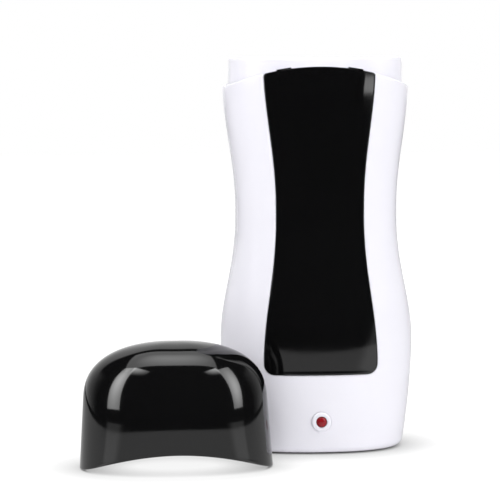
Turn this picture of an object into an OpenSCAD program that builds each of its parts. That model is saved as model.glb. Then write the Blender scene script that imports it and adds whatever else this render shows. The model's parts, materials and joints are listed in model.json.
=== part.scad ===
// Roll-on wax warmer with its cap standing beside it.
// The front faces -Y, +Z is up, and the origin is the centre of the base on the surface that it stands on.
// All sizes are in millimetres.

/* [Casing outline] */
// How far the casing's side stands outside the heating sleeve's at the shoulder, where the cap sits
shoulder_side = 9.6; // [9:0.1:12]
// The same at the waist, where the warmer is held
waist_side = 4.5; // [4:0.1:8]
// The same at the belly
belly_side = 10.85; // [9.5:0.05:14]
// The same at the bottom edge
base_side = 6.7; // [5.5:0.1:10]
// How far the casing's front and rear stand outside the heating sleeve's at the shoulder
shoulder_front = 8; // [7.5:0.1:10]
// The same at the waist
waist_front = 6; // [5:0.1:8]
// The same at the belly
belly_front = 9.5; // [8.5:0.1:12]
// The same at the bottom edge
base_front = 7.5; // [7:0.1:10]
// Height of the waist
waist_z = 96; // [88:1:104]
// Height of the belly
belly_z = 44.5; // [40:0.5:52]
// Height of the shoulder's corners, at the sides
shoulder_z = 146.5; // [142:0.5:152]
// Rise of the shoulder's arch, from the side corners to the middle
arch_rise = 8; // [5:0.5:10]
// Height of the neck above the shoulder's corners
neck_h = 11.5; // [10.5:0.5:14]
// Roundness of the plan at the ends, where 2 is an ellipse and more is squarer
end_square = 2.35; // [2.2:0.05:2.6]
// Roundness of the plan at the waist
waist_square = 2.9; // [2.4:0.05:3.2]
// Radius of the casing's bottom edge
foot_r = 2.5; // [1.5:0.1:3]
// Wall of the casing
wall = 2.2; // [1.8:0.1:2.6]
// Gap of the seam between the front and rear shells
seam_gap = 0.2; // [0.1:0.05:0.4]
// How far the seam lies in front of the middle at the waist
seam_front = 8; // [4:0.5:9]
// How far the seam lies behind the middle at the top and bottom
seam_back = 4; // [2:0.5:6]

/* [Front panel] */
// Width of the panel at its top corners
panel_top_w = 44.3; // [40:0.1:48]
// Width of the panel at the waist
panel_waist_w = 34.8; // [30:0.1:38]
// Width of the panel near its bottom
panel_low_w = 45.3; // [40:0.1:48]
// Height where the panel is widest
panel_low_z = 36; // [33:0.5:42]
// Height of the panel's bottom edge
panel_bottom_z = 32.2; // [28:0.1:34]
// Radius of the panel's bottom corners
panel_corner_r = 4; // [2:0.5:6]
// Thickness of the panel
panel_t = 1.3; // [1:0.1:1.5]
// How far the panel stands proud of the casing
panel_proud = 0.2; // [0:0.05:0.4]
// Gap around and behind the panel in its recess
panel_fit = 0.12; // [0.05:0.01:0.25]
// Width of each hook tab on the panel's top edge
tab_w = 6; // [4:0.5:8]
// Height of the hook tabs above the panel's top edge
tab_h = 0.7; // [0.4:0.1:1.2]
// Thickness of the hook tabs
tab_t = 0.8; // [0.5:0.05:1]
// How far the hook tabs' roots reach down into the panel
tab_root = 1.2; // [0.8:0.1:2]
// Distance of each hook tab from the middle
tab_x = 14.2; // [10:0.1:17]

/* [Neck collar] */
// Gap between the collar and the casing around it
collar_fit = 0.15; // [0.1:0.05:0.2]
// Wall of the collar's outer skirt
skirt_t = 1.6; // [1.2:0.1:1.8]
// Thickness of the collar's top deck
deck_t = 2; // [1.5:0.1:2.5]
// Wall of the collar's throat
throat_t = 1.4; // [1.2:0.1:1.8]
// How far the collar's skirt reaches down inside the casing, below the shoulder's corners
skirt_reach = 2; // [1.5:0.5:3]
// How much the neck narrows on each side from its foot to its top
neck_draft = 0.3; // [0:0.05:0.5]
// Radius of the neck's top edges
neck_edge_r = 0.8; // [0.4:0.1:1.2]

/* [Cap] */
// Overall height of the cap
cap_h = 49; // [46:0.5:56]
// Height where the cap's sides turn into its dome
cap_side_h = 26; // [22:0.5:28]
// Wall of the cap
cap_wall = 2; // [1.6:0.1:2.1]
// How far the cap's outside stands back from the shoulder's edge
cap_step = 0; // [0:0.05:0.5]
// How much the cap narrows on each side from its rim to the dome
cap_draft = 1.8; // [1:0.1:2.5]
// Squareness of the dome seen from the front, where 2 is an ellipse
dome_square = 2.4; // [2.2:0.05:3]
// Distance of the standing cap from the warmer's middle, to its left
cap_x = 58.3; // [56:0.1:80]
// Distance of the standing cap from the warmer's middle, to its front
cap_y = 45.1; // [44:0.1:70]
// Turn of the standing cap
cap_turn = 0.9; // [0:0.1:5]

/* [Heating sleeve] */
// Inside width of the sleeve, for a wide cartridge
well_w = 54; // [52:0.5:54.5]
// Inside depth of the sleeve
well_d = 34; // [32:0.5:34.5]
// Inside corner radius of the sleeve
well_r = 12; // [10:0.5:14]
// Wall of the sleeve
sleeve_t = 1; // [0.8:0.1:1.2]
// Height of the sleeve's underside
sleeve_z = 34; // [33:0.5:40]
// Reach of the sleeve's two carrying ears beyond its wall
ear_reach = 2.2; // [1.8:0.1:2.6]
// Depth of those ears below the shoulder's corners
ear_drop = 4.5; // [4:0.5:8]
// Thickness of the silicone seal between the sleeve and the collar
seal_t = 1.5; // [1:0.1:2]
// Thickness of the ribs that carry the sleeve's ears
rib_t = 1.8; // [1.4:0.1:2.4]
// Distance of each rib from the middle
rib_x = 15; // [12:0.5:17]
// Height of the ribs
rib_h = 12; // [8:0.5:14]
// Gap between the sleeve and the ribs and bosses beside it
sleeve_gap = 0.35; // [0.3:0.05:0.6]

/* [Heater] */
// Length of the heater
heater_w = 30; // [26:0.5:32]
// Depth of the heater
heater_d = 20; // [16:0.5:22]
// Thickness of the heater
heater_t = 5; // [4:0.1:6]
// Thickness of the insulating sheet under the heater
mica_t = 0.5; // [0.3:0.1:0.8]
// Thickness of the clamp strap
strap_t = 1; // [0.8:0.1:1.2]
// Width of the clamp strap
strap_w = 12; // [10:0.5:14]
// Radius of the clamp screws' thread
clamp_screw_r = 1.5; // [1.2:0.05:1.6]
// Radius of the posts under the sleeve that take the clamp screws
clamp_post_r = 3; // [2.6:0.1:3.4]
// Length of the thermostat's case
thermostat_h = 20; // [16:0.5:22]
// Width of the thermostat's case
thermostat_w = 7.6; // [6:0.1:8]
// Thickness of the thermostat's case
thermostat_t = 3.7; // [3:0.1:4]
// Length of the thermal fuse's case
fuse_h = 12; // [10:0.5:14]
// Radius of the thermal fuse's case
fuse_r = 2; // [1.6:0.05:2.2]
// Height of the underside of the thermostat and the thermal fuse
sensor_z = 42; // [40:0.5:50]
// Thickness of the clips that hold them
clip_t = 0.5; // [0.4:0.05:0.8]
// Height of each clip's band
clip_h = 5; // [4:0.5:6]

/* [Indicator] */
// Height of the indicator's centre
indicator_z = 13.4; // [13:0.1:16]
// Radius of the indicator's ring
ring_r = 4; // [3.8:0.1:4.6]
// How far the ring stands out of the casing
ring_proud = 1; // [0.6:0.1:1.4]
// Radius of the red lens
lens_r = 2.1; // [1.9:0.05:2.3]
// Radius of the ring's shank, through the casing
shank_r = 3; // [2.8:0.1:3.4]
// Radius of the neon lamp's glass
lamp_r = 1.9; // [1.5:0.05:2]
// Length of the neon lamp's glass
lamp_len = 10; // [8:0.5:12]

/* [Mains inlet] */
// Height of the inlet's centre
inlet_z = 16; // [15:0.5:18]
// Width of the inlet's housing
inlet_w = 19; // [18:0.1:20]
// Height of the inlet's housing
inlet_h = 12; // [11:0.1:13]
// Depth of the inlet's socket
socket_depth = 12; // [11:0.5:13]
// Radius of each lobe of the socket
socket_r = 4.1; // [4:0.05:4.4]
// Distance between the inlet's pins
pin_pitch = 8.6; // [8.2:0.1:9]
// Radius of the inlet's pins
pin_r = 1.18; // [1:0.01:1.3]
// Length of the pins in the socket
pin_len = 9.5; // [8:0.5:10]

/* [Base] */
// Thickness of the base cover
cover_t = 2; // [1.5:0.1:3]
// Thickness of the non-slip pad
pad_t = 1; // [0.8:0.1:2]
// Height of the casing's bottom edge above the surface
foot_gap = 0.6; // [0.3:0.1:0.8]
// Gap between the base cover and the casing's inside
cover_gap = 1.5; // [1:0.1:2]
// How far the pad's edge stays inside the base cover's edge
pad_inset = 1.5; // [1:0.1:3]
// Gap from the casing's wall to the head of a base screw
post_room = 1.05; // [0.95:0.05:1.2]
// Height of the screw posts above the base cover
post_h = 12; // [9:0.5:14]
// Direction of the posts from the middle, in degrees from the side
post_dir = 34; // [28:1:40]
// Thread radius of the base and shell screws
screw_r = 1.1; // [0.9:0.05:1.3]
// Head radius of the base and shell screws
head_r = 2; // [1.8:0.05:2.1]
// Head height of the base and shell screws
head_t = 1.2; // [1:0.1:1.4]
// Length of the base screws' thread
base_screw_len = 9; // [6:0.5:10]
// Gap between a screw's thread and its hole
thread_fit = 0.06; // [0.04:0.01:0.1]
// Radius of the bosses that join the shells at the top
boss_r = 2.9; // [2.7:0.05:3]
// Depth of those bosses' axis below the shoulder's corners
boss_drop = 12.5; // [11:0.5:16]
// Thickness of the collar's lugs between the bosses
lug_t = 3; // [2:0.5:4]

/* [Wires] */
// Diameter of the internal wires over their insulation
wire_d = 1.6; // [1.2:0.1:1.8]
// Straight length at a wire's end
wire_tail = 3; // [2:0.5:4]
// Gap between a wire's end and the terminal it meets
wire_gap = 0.2; // [0.1:0.05:0.3]
// Height of the wires' low run, beside the inlet and the lamp
run_low = 15; // [13:0.5:18]
// Height of the wires' middle run, under the heater's clamp
run_mid = 21; // [19:0.5:23]
// Height of the wires' high run, beside the heater's clamp
run_high = 27; // [26:0.5:28]
// Distance from the middle where a wire leaves the terminals
run_in = 9; // [7:0.5:11]
// Distance from the middle of the wires' middle run
run_side = 17; // [14:0.5:20]
// Distance from the middle where a wire turns up beside the sleeve
run_out = 25; // [23:0.5:27]
// Depth of the wires' runs from the middle
run_deep = 6; // [4:0.5:7]
// Depth where the wires pass the heater's clamp
run_pass = 8.8; // [8:0.1:9.5]

/* [Hidden] */
$fn = 48;

// Steps of the curved surfaces: across a shell, up a shell, round a closed ring, and across and up the panel
shell_cols = 22;
shell_rows = 21;
ring_cols = 40;
panel_cols = 12;
panel_rows = 15;
// A little more, for a cut that runs past a face
past = 1;

// Outer size of the sleeve, and the casing's sizes round it
sleeve_w = well_w + 2 * sleeve_t;
sleeve_d = well_d + 2 * sleeve_t;
shoulder_w = sleeve_w + 2 * shoulder_side;
waist_w = sleeve_w + 2 * waist_side;
belly_w = sleeve_w + 2 * belly_side;
base_w = sleeve_w + 2 * base_side;
shoulder_d = sleeve_d + 2 * shoulder_front;
waist_d = sleeve_d + 2 * waist_front;
belly_d = sleeve_d + 2 * belly_front;
base_d = sleeve_d + 2 * base_front;

// Outline of the casing

// Height where the casing is widest above the waist, and the shape of its curves
crest_over = 3.5;
crest_z = shoulder_z + crest_over;
upper_bend = 1.055;
lower_bend = 1.16;
foot_bend = 1.69;
panel_upper_bend = 1.24;
panel_lower_bend = 1.08;
// Share of the height from the waist that the squarer plan fills
square_reach = 50;
// Height under the shoulder's corners over which level rows turn into the arch
arch_blend = 40;

function ease(t) = (1 - cos(180 * t)) / 2;
function within(t) = min(max(t, 0), 1);
// A half size at height z, from its value at the crest, the waist, the belly (at height low) and the bottom
function swell(z, crest, waist, belly, bottom, low, up = upper_bend, down = lower_bend) =
    z >= waist_z ? waist + (crest - waist) * ease(pow(within((z - waist_z) / (crest_z - waist_z)), up))
    : z >= low ? waist + (belly - waist) * ease(pow((waist_z - z) / (waist_z - low), down))
    : belly - (belly - bottom) * pow(within((low - z) / low), foot_bend);
function half_w(z) = swell(z, shoulder_w / 2, waist_w / 2, belly_w / 2, base_w / 2, belly_z);
function half_d(z) = swell(z, shoulder_d / 2, waist_d / 2, belly_d / 2, base_d / 2, belly_z);
function square_at(z) =
    end_square + (waist_square - end_square) * (1 - ease(within(abs(z - waist_z) / square_reach)));
// How far the rounded bottom edge draws the casing in at height z
function foot_in(z) =
    z >= foot_gap + foot_r ? 0 : foot_r - sqrt(max(foot_r * foot_r - pow(foot_gap + foot_r - z, 2), 0));
// A signed power, and a point on a plan outline with separate front and rear depths
function spow(v, p) = sign(v) * pow(abs(v), p);
function plan_point(a, front, rear, n, ang) =
    [a * spow(cos(ang), 2 / n), (sin(ang) < 0 ? front : rear) * spow(sin(ang), 2 / n)];
// Depth of the plan outline at a distance x from the middle
function depth_at(x, a, b, n) = b * pow(max(1 - pow(abs(x) / a, n), 0), 1 / n);
function casing_depth(x, z) = depth_at(x, half_w(z), half_d(z), square_at(z));

// The shoulder's arch, as a height above its side corners
arch_r = (pow(shoulder_w / 2, 2) + arch_rise * arch_rise) / (2 * arch_rise);
function arch(x) = arch_rise - arch_r + sqrt(arch_r * arch_r - x * x);
function arch_share(z) = pow(within((z - shoulder_z + arch_blend) / arch_blend), 2);
top_z = shoulder_z + neck_h;

// The seam's place in depth at height z
seam_reach = 50;
function seam_y(z) =
    seam_back - (seam_back + seam_front) * (1 - ease(pow(within(abs(z - waist_z) / seam_reach), 1.6)));

// The front wall is thicker, because it holds the panel's recess
recess = panel_t + panel_fit - panel_proud;
front_wall = wall + recess;

// Closed skins through loops of points
// ends is "fan" where the end loops close to a point, "strip" where each is two facing runs, and "ring" where
// the last loop joins the first.

function middle(loop) = [for (k = [0:2]) let (s = [for (p = loop) p[k]]) s * [for (p = loop) 1] / len(loop)];
function skin_sides(m, n, ring) =
    [for (i = [0:(ring ? m - 1 : m - 2)], k = [0:n - 1], half = [0, 1])
        let (a = i * n + k, b = i * n + (k + 1) % n,
             c = ((i + 1) % m) * n + (k + 1) % n, d = ((i + 1) % m) * n + k)
        half == 0 ? [a, d, c] : [a, c, b]];
function strip_end(first, n, up) =
    [for (j = [0:n / 2 - 2], half = [0, 1])
        let (a = first + j, b = first + j + 1, c = first + n - 2 - j, d = first + n - 1 - j)
        let (t = half == 0 ? [a, b, c] : [a, c, d])
        up ? [t[2], t[1], t[0]] : t];
module skin(loops, ends = "fan") {
    m = len(loops);
    n = len(loops[0]);
    all = [for (loop = loops, p = loop) p];
    if (ends == "ring")
        polyhedron(all, skin_sides(m, n, true), convexity = 8);
    else if (ends == "strip")
        polyhedron(all, concat(skin_sides(m, n, false), strip_end(0, n, false), strip_end((m - 1) * n, n, true)),
            convexity = 8);
    else
        polyhedron(concat(all, [middle(loops[0]), middle(loops[m - 1])]),
            concat(skin_sides(m, n, false),
                [for (k = [0:n - 1]) [m * n, k, (k + 1) % n]],
                [for (k = [0:n - 1]) [m * n + 1, (m - 1) * n + (k + 1) % n, (m - 1) * n + k]]),
            convexity = 8);
}

// Casing shells

// A point of the casing at nominal height z and direction ang, drawn in by inset at the sides and the rear and by
// inset_front at the front. Near the shoulder the level rows turn into the arch.
function casing_point(z, side_y, u, inset, inset_front, front) =
    let (a0 = half_w(z) - inset, b0 = half_d(z) - (front ? inset_front : inset), n0 = square_at(z))
    let (edge = asin(spow(side_y / b0, n0 / 2)))
    let (ang = front ? 180 - edge + u * (180 + 2 * edge) : edge + u * (180 - 2 * edge))
    let (x0 = a0 * spow(cos(ang), 2 / n0))
    let (zz = z + arch_share(z) * arch(x0))
    let (xy = plan_point(half_w(zz) - inset, half_d(zz) - inset_front, half_d(zz) - inset, square_at(zz), ang))
    [xy[0], xy[1], zz];
function shell_heights() =
    let (low = [for (k = [0:3]) foot_gap + foot_r * (1 - cos(30 * k))])
    concat(low, [for (k = [1:shell_rows]) low[3] + (shoulder_z - low[3]) * k / shell_rows]);
function shell_loop(z, front) =
    let (y = seam_y(z) + (front ? -seam_gap / 2 : seam_gap / 2), f = foot_in(z))
    let (inner = wall + 0.7 * f, inner_front = front_wall + 0.7 * f)
    concat([for (j = [0:shell_cols]) casing_point(z, y, j / shell_cols, f, f, front)],
        [for (j = [shell_cols:-1:0]) casing_point(z, y, j / shell_cols, inner, inner_front, front)]);
module shell_wall(front) {
    skin([for (z = shell_heights()) shell_loop(z, front)], "strip");
}

// Screw posts for the base cover stand against the casing's inner wall
post_z = pad_t + cover_t;
post_bite = 0.35;
post_r = head_r + post_room + post_bite;
function post_place(front, left) =
    let (a = half_w(post_z) - wall, b = half_d(post_z) - (front ? front_wall : wall))
    let (p = plan_point(a, b, b, end_square, post_dir), len = norm(p), k = (len - post_r + post_bite) / len)
    [p[0] * k * (left ? -1 : 1), p[1] * k * (front ? -1 : 1)];
module base_posts(front) {
    for (left = [true, false]) translate([post_place(front, left)[0], post_place(front, left)[1], post_z])
        cylinder(r = post_r, h = post_h);
}
module base_post_holes(front) {
    for (left = [true, false]) translate([post_place(front, left)[0], post_place(front, left)[1], post_z - past])
        cylinder(r = screw_r, h = base_screw_len + past);
}

// Bosses for the two screws that join the shells beside the sleeve, with the collar's lugs between them
boss_z = shoulder_z - boss_drop;
boss_x = sleeve_w / 2 + sleeve_gap + boss_r;
boss_end = casing_depth(boss_x + boss_r * 0.9, boss_z) - 0.6;
head_seat = 8;
module boss(side, front) {
    from = lug_t / 2 + 0.05;
    translate([side * boss_x, front ? -boss_end : from, boss_z]) rotate([-90, 0, 0])
        cylinder(r = boss_r, h = boss_end - from);
}
module boss_hole(side, front) {
    translate([side * boss_x, 0, boss_z]) rotate([front ? 90 : -90, 0, 0]) {
        cylinder(r = front ? screw_r : screw_r + 0.15, h = head_seat + past);
        if (!front) translate([0, 0, head_seat]) cylinder(r = head_r + 0.15, h = half_d(boss_z));
    }
}

// Ribs that carry the sleeve's ears
throat_h = 3.5;
seal_gap = 0.05;
seal_z = top_z - deck_t - throat_h - seal_t;
ear_z = shoulder_z - ear_drop - sleeve_t;
module sleeve_ribs(front) {
    inner = sleeve_d / 2 + sleeve_gap;
    outer = casing_depth(rib_x + rib_t / 2, ear_z - rib_h) - 1;
    for (side = [-1, 1])
        translate([side * rib_x - rib_t / 2, front ? -outer : inner, ear_z - rib_h])
            cube([rib_t, outer - inner, rib_h]);
}

// The panel's outline and surface
function panel_half(z) =
    swell(z, panel_top_w / 2, panel_waist_w / 2, panel_low_w / 2, panel_low_w / 2, panel_low_z,
        panel_upper_bend, panel_lower_bend);
function corner_in(z) =
    let (d = panel_corner_r - (z - panel_bottom_z))
    d <= 0 ? 0 : panel_corner_r - sqrt(max(panel_corner_r * panel_corner_r - d * d, 0));
function panel_point(z, u, grow, lift) =
    let (x = u * (panel_half(z) - corner_in(z) + grow))
    let (zz = z + arch_share(z) * arch(x))
    [x, -casing_depth(x, zz) - lift, zz];
function panel_loop(z, grow, outside, inside, sink) =
    concat([for (j = [0:panel_cols]) panel_point(z, 2 * j / panel_cols - 1, grow, outside) - [0, 0, sink]],
        [for (j = [panel_cols:-1:0]) panel_point(z, 2 * j / panel_cols - 1, grow, -inside) - [0, 0, sink]]);
function panel_heights() =
    let (low = [for (k = [1:4]) panel_bottom_z + panel_corner_r * (1 - cos(22.5 * k))])
    concat([panel_bottom_z + 0.02], low,
        [for (k = [1:panel_rows]) low[3] + (shoulder_z - low[3]) * k / panel_rows]);
// The solid between two depths under the casing's surface, inside the panel's outline grown by grow
module panel_solid(grow, outside, inside, over) {
    rows = [for (z = panel_heights()) panel_loop(z, grow, outside, inside, grow)];
    top = [for (p = panel_loop(shoulder_z, grow, outside, inside, 0)) p + [0, 0, over]];
    skin(over > 0 ? concat(rows, [top]) : rows, "strip");
}

// Indicator's seat in the front wall
indicator_y = -casing_depth(0, indicator_z);
module about_indicator() {
    translate([0, indicator_y, indicator_z]) rotate([-90, 0, 0]) children();
}

module front_shell() {
    color("whitesmoke") difference() {
        union() {
            shell_wall(true);
            base_posts(true);
            sleeve_ribs(true);
            for (side = [-1, 1]) boss(side, true);
        }
        panel_solid(panel_fit, past, panel_t - panel_proud + panel_fit, past);
        base_post_holes(true);
        for (side = [-1, 1]) boss_hole(side, true);
        about_indicator() {
            translate([0, 0, -past]) cylinder(r = shank_r + 0.1, h = front_wall + 3 * past);
            translate([0, 0, -past]) cylinder(r = ring_r + 0.15, h = past + 0.5);
        }
    }
}

module rear_shell() {
    color("whitesmoke") difference() {
        union() {
            shell_wall(false);
            base_posts(false);
            sleeve_ribs(false);
            for (side = [-1, 1]) boss(side, false);
        }
        base_post_holes(false);
        for (side = [-1, 1]) boss_hole(side, false);
        translate([-inlet_w / 2 - 0.15, half_d(inlet_z) - 2 * wall - past, inlet_z - inlet_h / 2 - 0.15])
            cube([inlet_w + 0.3, 3 * wall + past, inlet_h + 0.3]);
    }
}

module front_panel() {
    slope = asin(tab_x / arch_r);
    deep = casing_depth(tab_x, shoulder_z);
    color([0.03, 0.03, 0.035]) union() {
        panel_solid(0, panel_proud, panel_t - panel_proud, 0);
        for (side = [-1, 1])
            translate([side * tab_x, -deep - panel_proud + (panel_t - tab_t) / 2, shoulder_z + arch(tab_x)])
                rotate([0, side * slope, 0])
                    translate([-tab_w / 2, 0, -tab_root]) cube([tab_w, tab_t, tab_h + tab_root]);
    }
}

// Neck collar: an upturned channel between the casing and the well, with a lug at each side
function neck_half(z) = half_w(min(z, crest_z)) - wall - collar_fit - neck_draft * within((z - shoulder_z) / neck_h);
function collar_ring(z, shrink) =
    let (zc = min(z, crest_z), d = wall + collar_fit + neck_draft * within((z - shoulder_z) / neck_h) + shrink)
    [for (k = [0:ring_cols - 1])
        let (p = plan_point(half_w(zc) - d, half_d(zc) - d - recess, half_d(zc) - d, square_at(zc),
            360 * k / ring_cols))
        [p[0], p[1], z]];
throat_square = 3.6;
throat_grow = 0.3;
function throat_ring(z, grow) =
    [for (k = [0:ring_cols - 1])
        let (p = plan_point(well_w / 2 + grow, well_d / 2 + grow, well_d / 2 + grow, throat_square,
            360 * k / ring_cols))
        [p[0], p[1], z]];
collar_foot = shoulder_z - skirt_reach;
module neck_collar() {
    under = top_z - deck_t;
    low = seal_z + seal_t + seal_gap;
    e = neck_edge_r;
    color("whitesmoke") difference() {
        union() {
            skin([
                throat_ring(top_z - e, throat_grow), throat_ring(low, throat_grow),
                throat_ring(low, throat_grow + throat_t), throat_ring(under, throat_grow + throat_t),
                collar_ring(under, skirt_t), collar_ring(collar_foot, skirt_t),
                collar_ring(collar_foot, 0), collar_ring(collar_foot + (shoulder_z - collar_foot) / 2, 0),
                collar_ring(shoulder_z, 0), collar_ring(top_z - e, 0),
                collar_ring(top_z - 0.3 * e, 0.3 * e), collar_ring(top_z, e),
                throat_ring(top_z, throat_grow + e), throat_ring(top_z - 0.3 * e, throat_grow + 0.3 * e)
            ], "ring");
            for (side = [-1, 1]) lug(side);
        }
        for (side = [-1, 1])
            translate([side * boss_x, -lug_t, boss_z]) rotate([-90, 0, 0])
                cylinder(r = screw_r + 0.3, h = 2 * lug_t);
    }
}
module lug(side) {
    inner = boss_x - boss_r;
    outer = neck_half(collar_foot) - 0.2;
    low = boss_z - boss_r;
    lean = neck_half(collar_foot) - half_w(low) + wall + 0.3;
    rotate([90, 0, 0]) translate([0, 0, -lug_t / 2]) linear_extrude(lug_t)
        polygon([for (p = [[inner, low], [outer - lean, low], [outer, collar_foot + 2], [inner + 0.4, collar_foot + 2]])
            [side * p[0], p[1]]]);
}

// Cap: a domed shell that stands on the two ends of its arched rim
cap_rim_w = shoulder_w / 2 - cap_step;
cap_rim_d = shoulder_d / 2 - cap_step;
cap_arch_r = (cap_rim_w * cap_rim_w + arch_rise * arch_rise) / (2 * arch_rise);
cap_dome_steps = 7;
function cap_rim(x) = max(arch_rise - cap_arch_r + sqrt(cap_arch_r * cap_arch_r - x * x), 0);
function cap_ring(z, inset) =
    let (dome = cap_h - cap_side_h - inset)
    let (in = cap_draft * within(z / cap_side_h) + inset)
    let (k = z <= cap_side_h ? 1
        : pow(max(1 - pow((z - cap_side_h) / dome, dome_square), 0), 1 / dome_square))
    [for (j = [0:ring_cols - 1])
        let (p = plan_point((cap_rim_w - in) * k, (cap_rim_d - in) * k, (cap_rim_d - in) * k, end_square,
            360 * j / ring_cols))
        [p[0], p[1], z]];
function cap_rim_ring(inset) = [for (p = cap_ring(0, inset)) [p[0], p[1], cap_rim(p[0])]];
function cap_levels(inset) = concat([arch_rise + 2, (arch_rise + 2 + cap_side_h) / 2, cap_side_h],
    [for (k = [1:cap_dome_steps]) cap_side_h + (cap_h - cap_side_h - inset) * sin(90 * k / (cap_dome_steps + 0.35))]);
module place_cap() {
    translate([-cap_x, -cap_y, 0]) rotate(cap_turn) children();
}
module cap() {
    up = cap_levels(0);
    down = cap_levels(cap_wall);
    color([0.03, 0.03, 0.035]) place_cap()
        skin(concat([for (k = [len(down) - 1:-1:0]) cap_ring(down[k], cap_wall)], [cap_rim_ring(cap_wall)],
            [cap_rim_ring(0)], [for (z = up) cap_ring(z, 0)]), "fan");
}

// Indicator lamp
module indicator_bezel() {
    color("whitesmoke") about_indicator() rotate_extrude()
        polygon([[lens_r + 0.1, -ring_proud + 0.3], [lens_r + 0.5, -ring_proud], [ring_r - 0.7, -ring_proud],
            [ring_r - 0.2, -ring_proud + 0.2], [ring_r, -ring_proud + 0.7], [ring_r, 0.4], [shank_r, 0.4],
            [shank_r, front_wall + 3], [lens_r + 0.1, front_wall + 3]]);
}
lens_back = 2.2;
module indicator_lens() {
    dome_h = 1.1;
    dome_r = (lens_r * lens_r + dome_h * dome_h) / (2 * dome_h);
    color("firebrick") about_indicator() intersection() {
        translate([0, 0, -ring_proud - 0.5]) cylinder(r = lens_r, h = lens_back + ring_proud + 0.5);
        union() {
            translate([0, 0, -ring_proud - 0.5 + dome_r]) sphere(r = dome_r);
            translate([0, 0, -ring_proud - 0.5 + dome_h]) cylinder(r = lens_r, h = lens_back + ring_proud);
        }
    }
}
module neon_lamp() {
    color("lightgray") about_indicator() union() {
        translate([0, 0, lens_back + lamp_r]) sphere(r = lamp_r);
        translate([0, 0, lens_back + lamp_r]) cylinder(r = lamp_r, h = lamp_len - lamp_r);
    }
}
resistor_r = 1.4;
resistor_len = 8;
lamp_back = indicator_y + lens_back + lamp_len;
lead_x = 0.95;
module lamp_resistor() {
    color("black") translate([lead_x, lamp_back, indicator_z]) rotate([-90, 0, 0]) {
        cylinder(r = wire_d / 2 - 0.1, h = 2);
        translate([resistor_r - lead_x, 0, 2]) cylinder(r = resistor_r, h = resistor_len);
    }
}

// Heating sleeve, seal and heater
module round_rect(w, d, r) {
    square([w - 2 * r, d], center = true);
    square([w, d - 2 * r], center = true);
    for (x = [-1, 1], y = [-1, 1]) translate([x * (w / 2 - r), y * (d / 2 - r)]) circle(r = r);
}
clamp_post_x = heater_w / 2 + clamp_post_r + 1;
clamp_z = sleeve_z - heater_t - mica_t;
module heating_sleeve() {
    color("silver") difference() {
        union() {
            translate([0, 0, sleeve_z]) linear_extrude(seal_z - sleeve_z)
                round_rect(sleeve_w, sleeve_d, well_r + sleeve_t);
            translate([0, 0, ear_z]) linear_extrude(sleeve_t) intersection() {
                round_rect(sleeve_w + 2 * ear_reach, sleeve_d + 2 * ear_reach, well_r + sleeve_t + ear_reach);
                square([2 * (rib_x + rib_t + 1), sleeve_d + 4 * ear_reach], center = true);
            }
            for (side = [-1, 1]) translate([side * clamp_post_x, 0, clamp_z])
                cylinder(r = clamp_post_r, h = sleeve_z - clamp_z + sleeve_t / 2);
        }
        translate([0, 0, sleeve_z + sleeve_t]) linear_extrude(seal_z - sleeve_z) round_rect(well_w, well_d, well_r);
        for (side = [-1, 1]) translate([side * clamp_post_x, 0, clamp_z - past])
            cylinder(r = clamp_screw_r, h = sleeve_z - clamp_z + past - 0.6);
    }
}
module sleeve_seal() {
    color("dimgray") translate([0, 0, seal_z]) linear_extrude(seal_t) difference() {
        round_rect(sleeve_w, sleeve_d, well_r + sleeve_t);
        round_rect(well_w, well_d, well_r);
    }
}
module ptc_heater() {
    color("lightgray") translate([-heater_w / 2, -heater_d / 2, sleeve_z - heater_t])
        cube([heater_w, heater_d, heater_t]);
}
module insulation_sheet() {
    color("tan") translate([-heater_w / 2, -heater_d / 2, clamp_z]) cube([heater_w, heater_d, mica_t]);
}
module heater_clamp() {
    length = 2 * (clamp_post_x + clamp_post_r);
    color("silver") difference() {
        translate([-length / 2, -strap_w / 2, clamp_z - strap_t]) cube([length, strap_w, strap_t]);
        for (side = [-1, 1]) translate([side * clamp_post_x, 0, clamp_z - strap_t - past])
            cylinder(r = clamp_screw_r + 0.2, h = strap_t + 2 * past);
    }
}
module clamp_screws() {
    color("gray") for (side = [-1, 1]) translate([side * clamp_post_x, 0, clamp_z - strap_t]) {
        cylinder(r = clamp_screw_r - thread_fit, h = strap_t + heater_t - 1.2);
        translate([0, 0, -1.6]) difference() {
            cylinder(r = 1.9 * clamp_screw_r, h = 1.6);
            translate([-0.3, -3 * clamp_screw_r, -past]) cube([0.6, 6 * clamp_screw_r, 0.8 + past]);
        }
    }
}

// Thermostat on the sleeve's right side and thermal fuse on its left, each under a spring clip
sensor_x = sleeve_w / 2;
lead_len = 3;
lead_apart = 4;
module thermostat() {
    color("silver") {
        translate([sensor_x, -thermostat_w / 2, sensor_z]) cube([thermostat_t, thermostat_w, thermostat_h]);
        for (side = [-1, 1])
            translate([sensor_x + thermostat_t / 2, side * lead_apart / 2, sensor_z - lead_len])
                cylinder(r = 0.6, h = lead_len);
    }
}
module thermal_fuse() {
    color("goldenrod") translate([-sensor_x - fuse_r, 0, sensor_z]) {
        cylinder(r = fuse_r, h = fuse_h);
        translate([0, 0, -lead_len]) cylinder(r = 0.6, h = fuse_h + 2 * lead_len);
    }
}
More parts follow.
